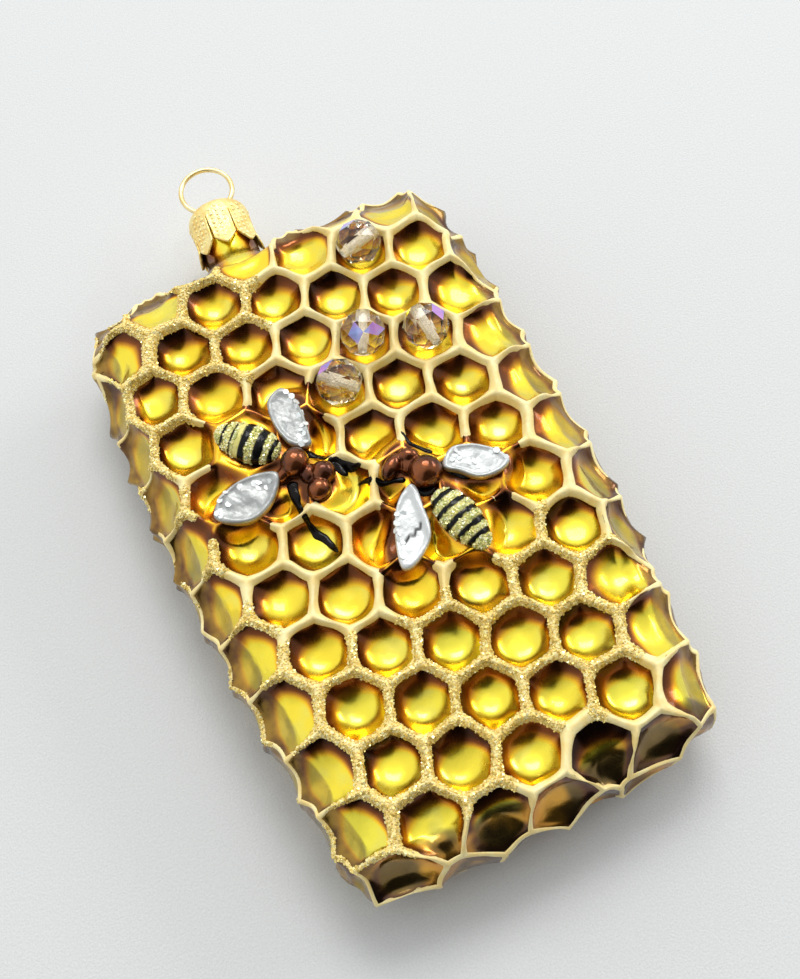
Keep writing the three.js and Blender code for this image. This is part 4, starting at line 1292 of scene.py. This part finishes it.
# Places and half width along each stroke of the brush.
STROKES = [
    [(-9.3, 12.9, 0.35), (-8.3, 12.3, 0.5), (-6.6, 11.4, 0.55), (-5.4, 10.2, 0.6), (-4.4, 8.9, 0.8),
     (-3.4, 7.7, 0.75), (-2.4, 7.1, 0.5), (-1.1, 6.8, 0.2)],
    [(-5.5, 9.3, 0.4), (-4.8, 8.2, 0.8), (-4.3, 7.2, 0.8), (-3.9, 6.5, 0.25)],
    [(-3.3, 4.4, 0.12), (-2.4, 4.3, 0.2), (-1.6, 3.9, 0.35), (-0.8, 3.3, 0.4), (0.2, 2.2, 0.4), (2.0, 1.8, 0.3),
     (3.9, 1.0, 0.4)],
    [(-1.9, 3.0, 0.12), (-1.3, 3.5, 0.25), (-0.7, 4.1, 0.12)],
    [(-12.6, 9.2, 0.6), (-13.1, 7.6, 0.7), (-13.4, 5.8, 0.55), (-13.4, 3.5, 0.4), (-13.1, 1.9, 0.3),
     (-12.7, 0.1, 0.6), (-11.9, -0.9, 0.5), (-11.4, -2.6, 0.42), (-11.0, -4.5, 0.15)],
    [(6.8, 8.9, 0.15), (7.1, 7.6, 0.3), (7.3, 6.2, 0.3), (8.4, 4.9, 0.3), (9.5, 3.6, 0.45)],
    [(9.9, 4.9, 0.35), (9.6, 4.0, 0.5), (9.2, 3.3, 0.35)],
    [(10.0, 0.9, 0.5), (10.9, -0.1, 0.65), (11.7, -1.5, 0.6), (12.6, -2.8, 0.45), (13.6, -3.6, 0.15)],
    [(4.6, -1.6, 0.3), (5.4, -2.3, 0.6), (6.3, -2.6, 0.6), (7.3, -2.6, 0.25)],
]
STROKE_STEP, STROKE_SPREAD, STROKE_HEIGHT, STROKE_SIDES = 0.25, 1.45, 0.32, 12


def evened(line, times):
    """Blends each point of a line with its two neighbours, but for its ends."""
    for _ in range(times):
        line[1:-1] = (line[:-2] + 2 * line[1:-1] + line[2:]) / 4
    return line


def glass_below(x, y):
    hit, normal, *_ = comb_tree.ray_cast(Vector((x * MM, y * MM, 0.03)), Vector((0, 0, -1)))
    return np.array(hit) / MM, np.array(normal)


points, faces = [], []
for stroke in STROKES:
    stroke = np.array(stroke)
    walked = np.concatenate([[0], np.cumsum(np.linalg.norm(np.diff(stroke[:, :2], axis=0), axis=1))])
    steps = np.linspace(0, walked[-1], int(walked[-1] / STROKE_STEP) + 3)
    x, y, width = (np.interp(steps, walked, stroke[:, k]) for k in (0, 1, 2))
    spots = [glass_below(*spot) for spot in evened(np.column_stack([x, y]), 2)]
    path, ups = (np.array(part) for part in zip(*spots))
    evened(path[:, 2], 3)
    evened(ups, 3)
    taper = np.minimum(1, np.minimum(steps, walked[-1] - steps) / 0.4 + 0.15)
    width = STROKE_SPREAD * width * (1 + 0.15 * wave(path, 1.5, 60))
    add_skin(points, faces, sweep(path, ups, width * taper, STROKE_HEIGHT * taper, STROKE_SIDES))
make_piece("bee_legs", points, faces, enamel, "black_enamel")

for grain in (crumb, dot, flake):
    bpy.data.objects.remove(grain)

# ---- Floor, light and camera --------------------------------------------------------------
# The ornament lies on a pale cloth, under one large window and a smaller one at its right. The
# studio is dark where the camera stands.

FLOOR = 3
corners = [(-FLOOR, -FLOOR, 0), (FLOOR, -FLOOR, 0), (FLOOR, FLOOR, 0), (-FLOOR, FLOOR, 0)]
floor = new_object("floor", new_mesh("floor", corners, [(0, 1, 2, 3)], 1))
floor.data.materials.append(
    speckled("pale_cloth", (0.685, 0.69, 0.685), (0.73, 0.74, 0.735), 3000, (0.85, 0.95), (2600, 0.0001))
)

for name, place, target, (long, wide), power in (
    ("window", (0.3, 0.6, 0.95), (0, 0.05, 0), (0.58, 0.42), 5.6),
    ("side_window", (0.95, 0.15, 0.5), (0, 0.0, 0), (0.5, 0.2), 2.2),
):
    light = bpy.data.lights.new(name, "AREA")
    light.shape, light.size, light.size_y, light.energy = "RECTANGLE", long, wide, power
    lamp = new_object(name, light)
    lamp.location = place
    lamp.rotation_euler = (Vector(target) - Vector(place)).to_track_quat("-Z", "Y").to_euler()

world = bpy.data.worlds.new("studio")
bpy.context.scene.world = world
world.use_nodes = True
tree = world.node_tree
tree.nodes.clear()
way = node(tree, "ShaderNodeSeparateXYZ", {0: node(tree, "ShaderNodeTexCoord").outputs["Generated"]}).outputs
glow = between(tree, way[1], -0.5, 0.3, 0.62, 1.05)
behind = reckon(tree, "MULTIPLY_ADD", reckon(tree, "ABSOLUTE", way[0]), 0.6, way[1])
glow = reckon(tree, "MULTIPLY", glow, between(tree, behind, -0.4, -0.02, 0.06, 1.0))
seen = node(tree, "ShaderNodeLightPath").outputs["Is Camera Ray"]
strength = node(tree, "ShaderNodeMix", {0: seen, 2: glow, 3: 0.85}, data_type="FLOAT").outputs[0]
sky = node(tree, "ShaderNodeBackground", {"Color": (0.97, 0.99, 1, 1), "Strength": strength})
node(tree, "ShaderNodeOutputWorld", {"Surface": sky.outputs[0]})

camera = new_object("camera", bpy.data.cameras.new("camera"))
camera.data.lens, camera.data.sensor_width, camera.data.clip_start = 44.84, 36.0, 0.01
camera.location = (-0.024136, -0.066994, 0.202843)
camera.rotation_euler = [math.radians(angle) for angle in (21.4517, 2.0130, -26.6511)]
bpy.context.scene.camera = camera
bpy.context.scene.view_settings.view_transform = "Standard"
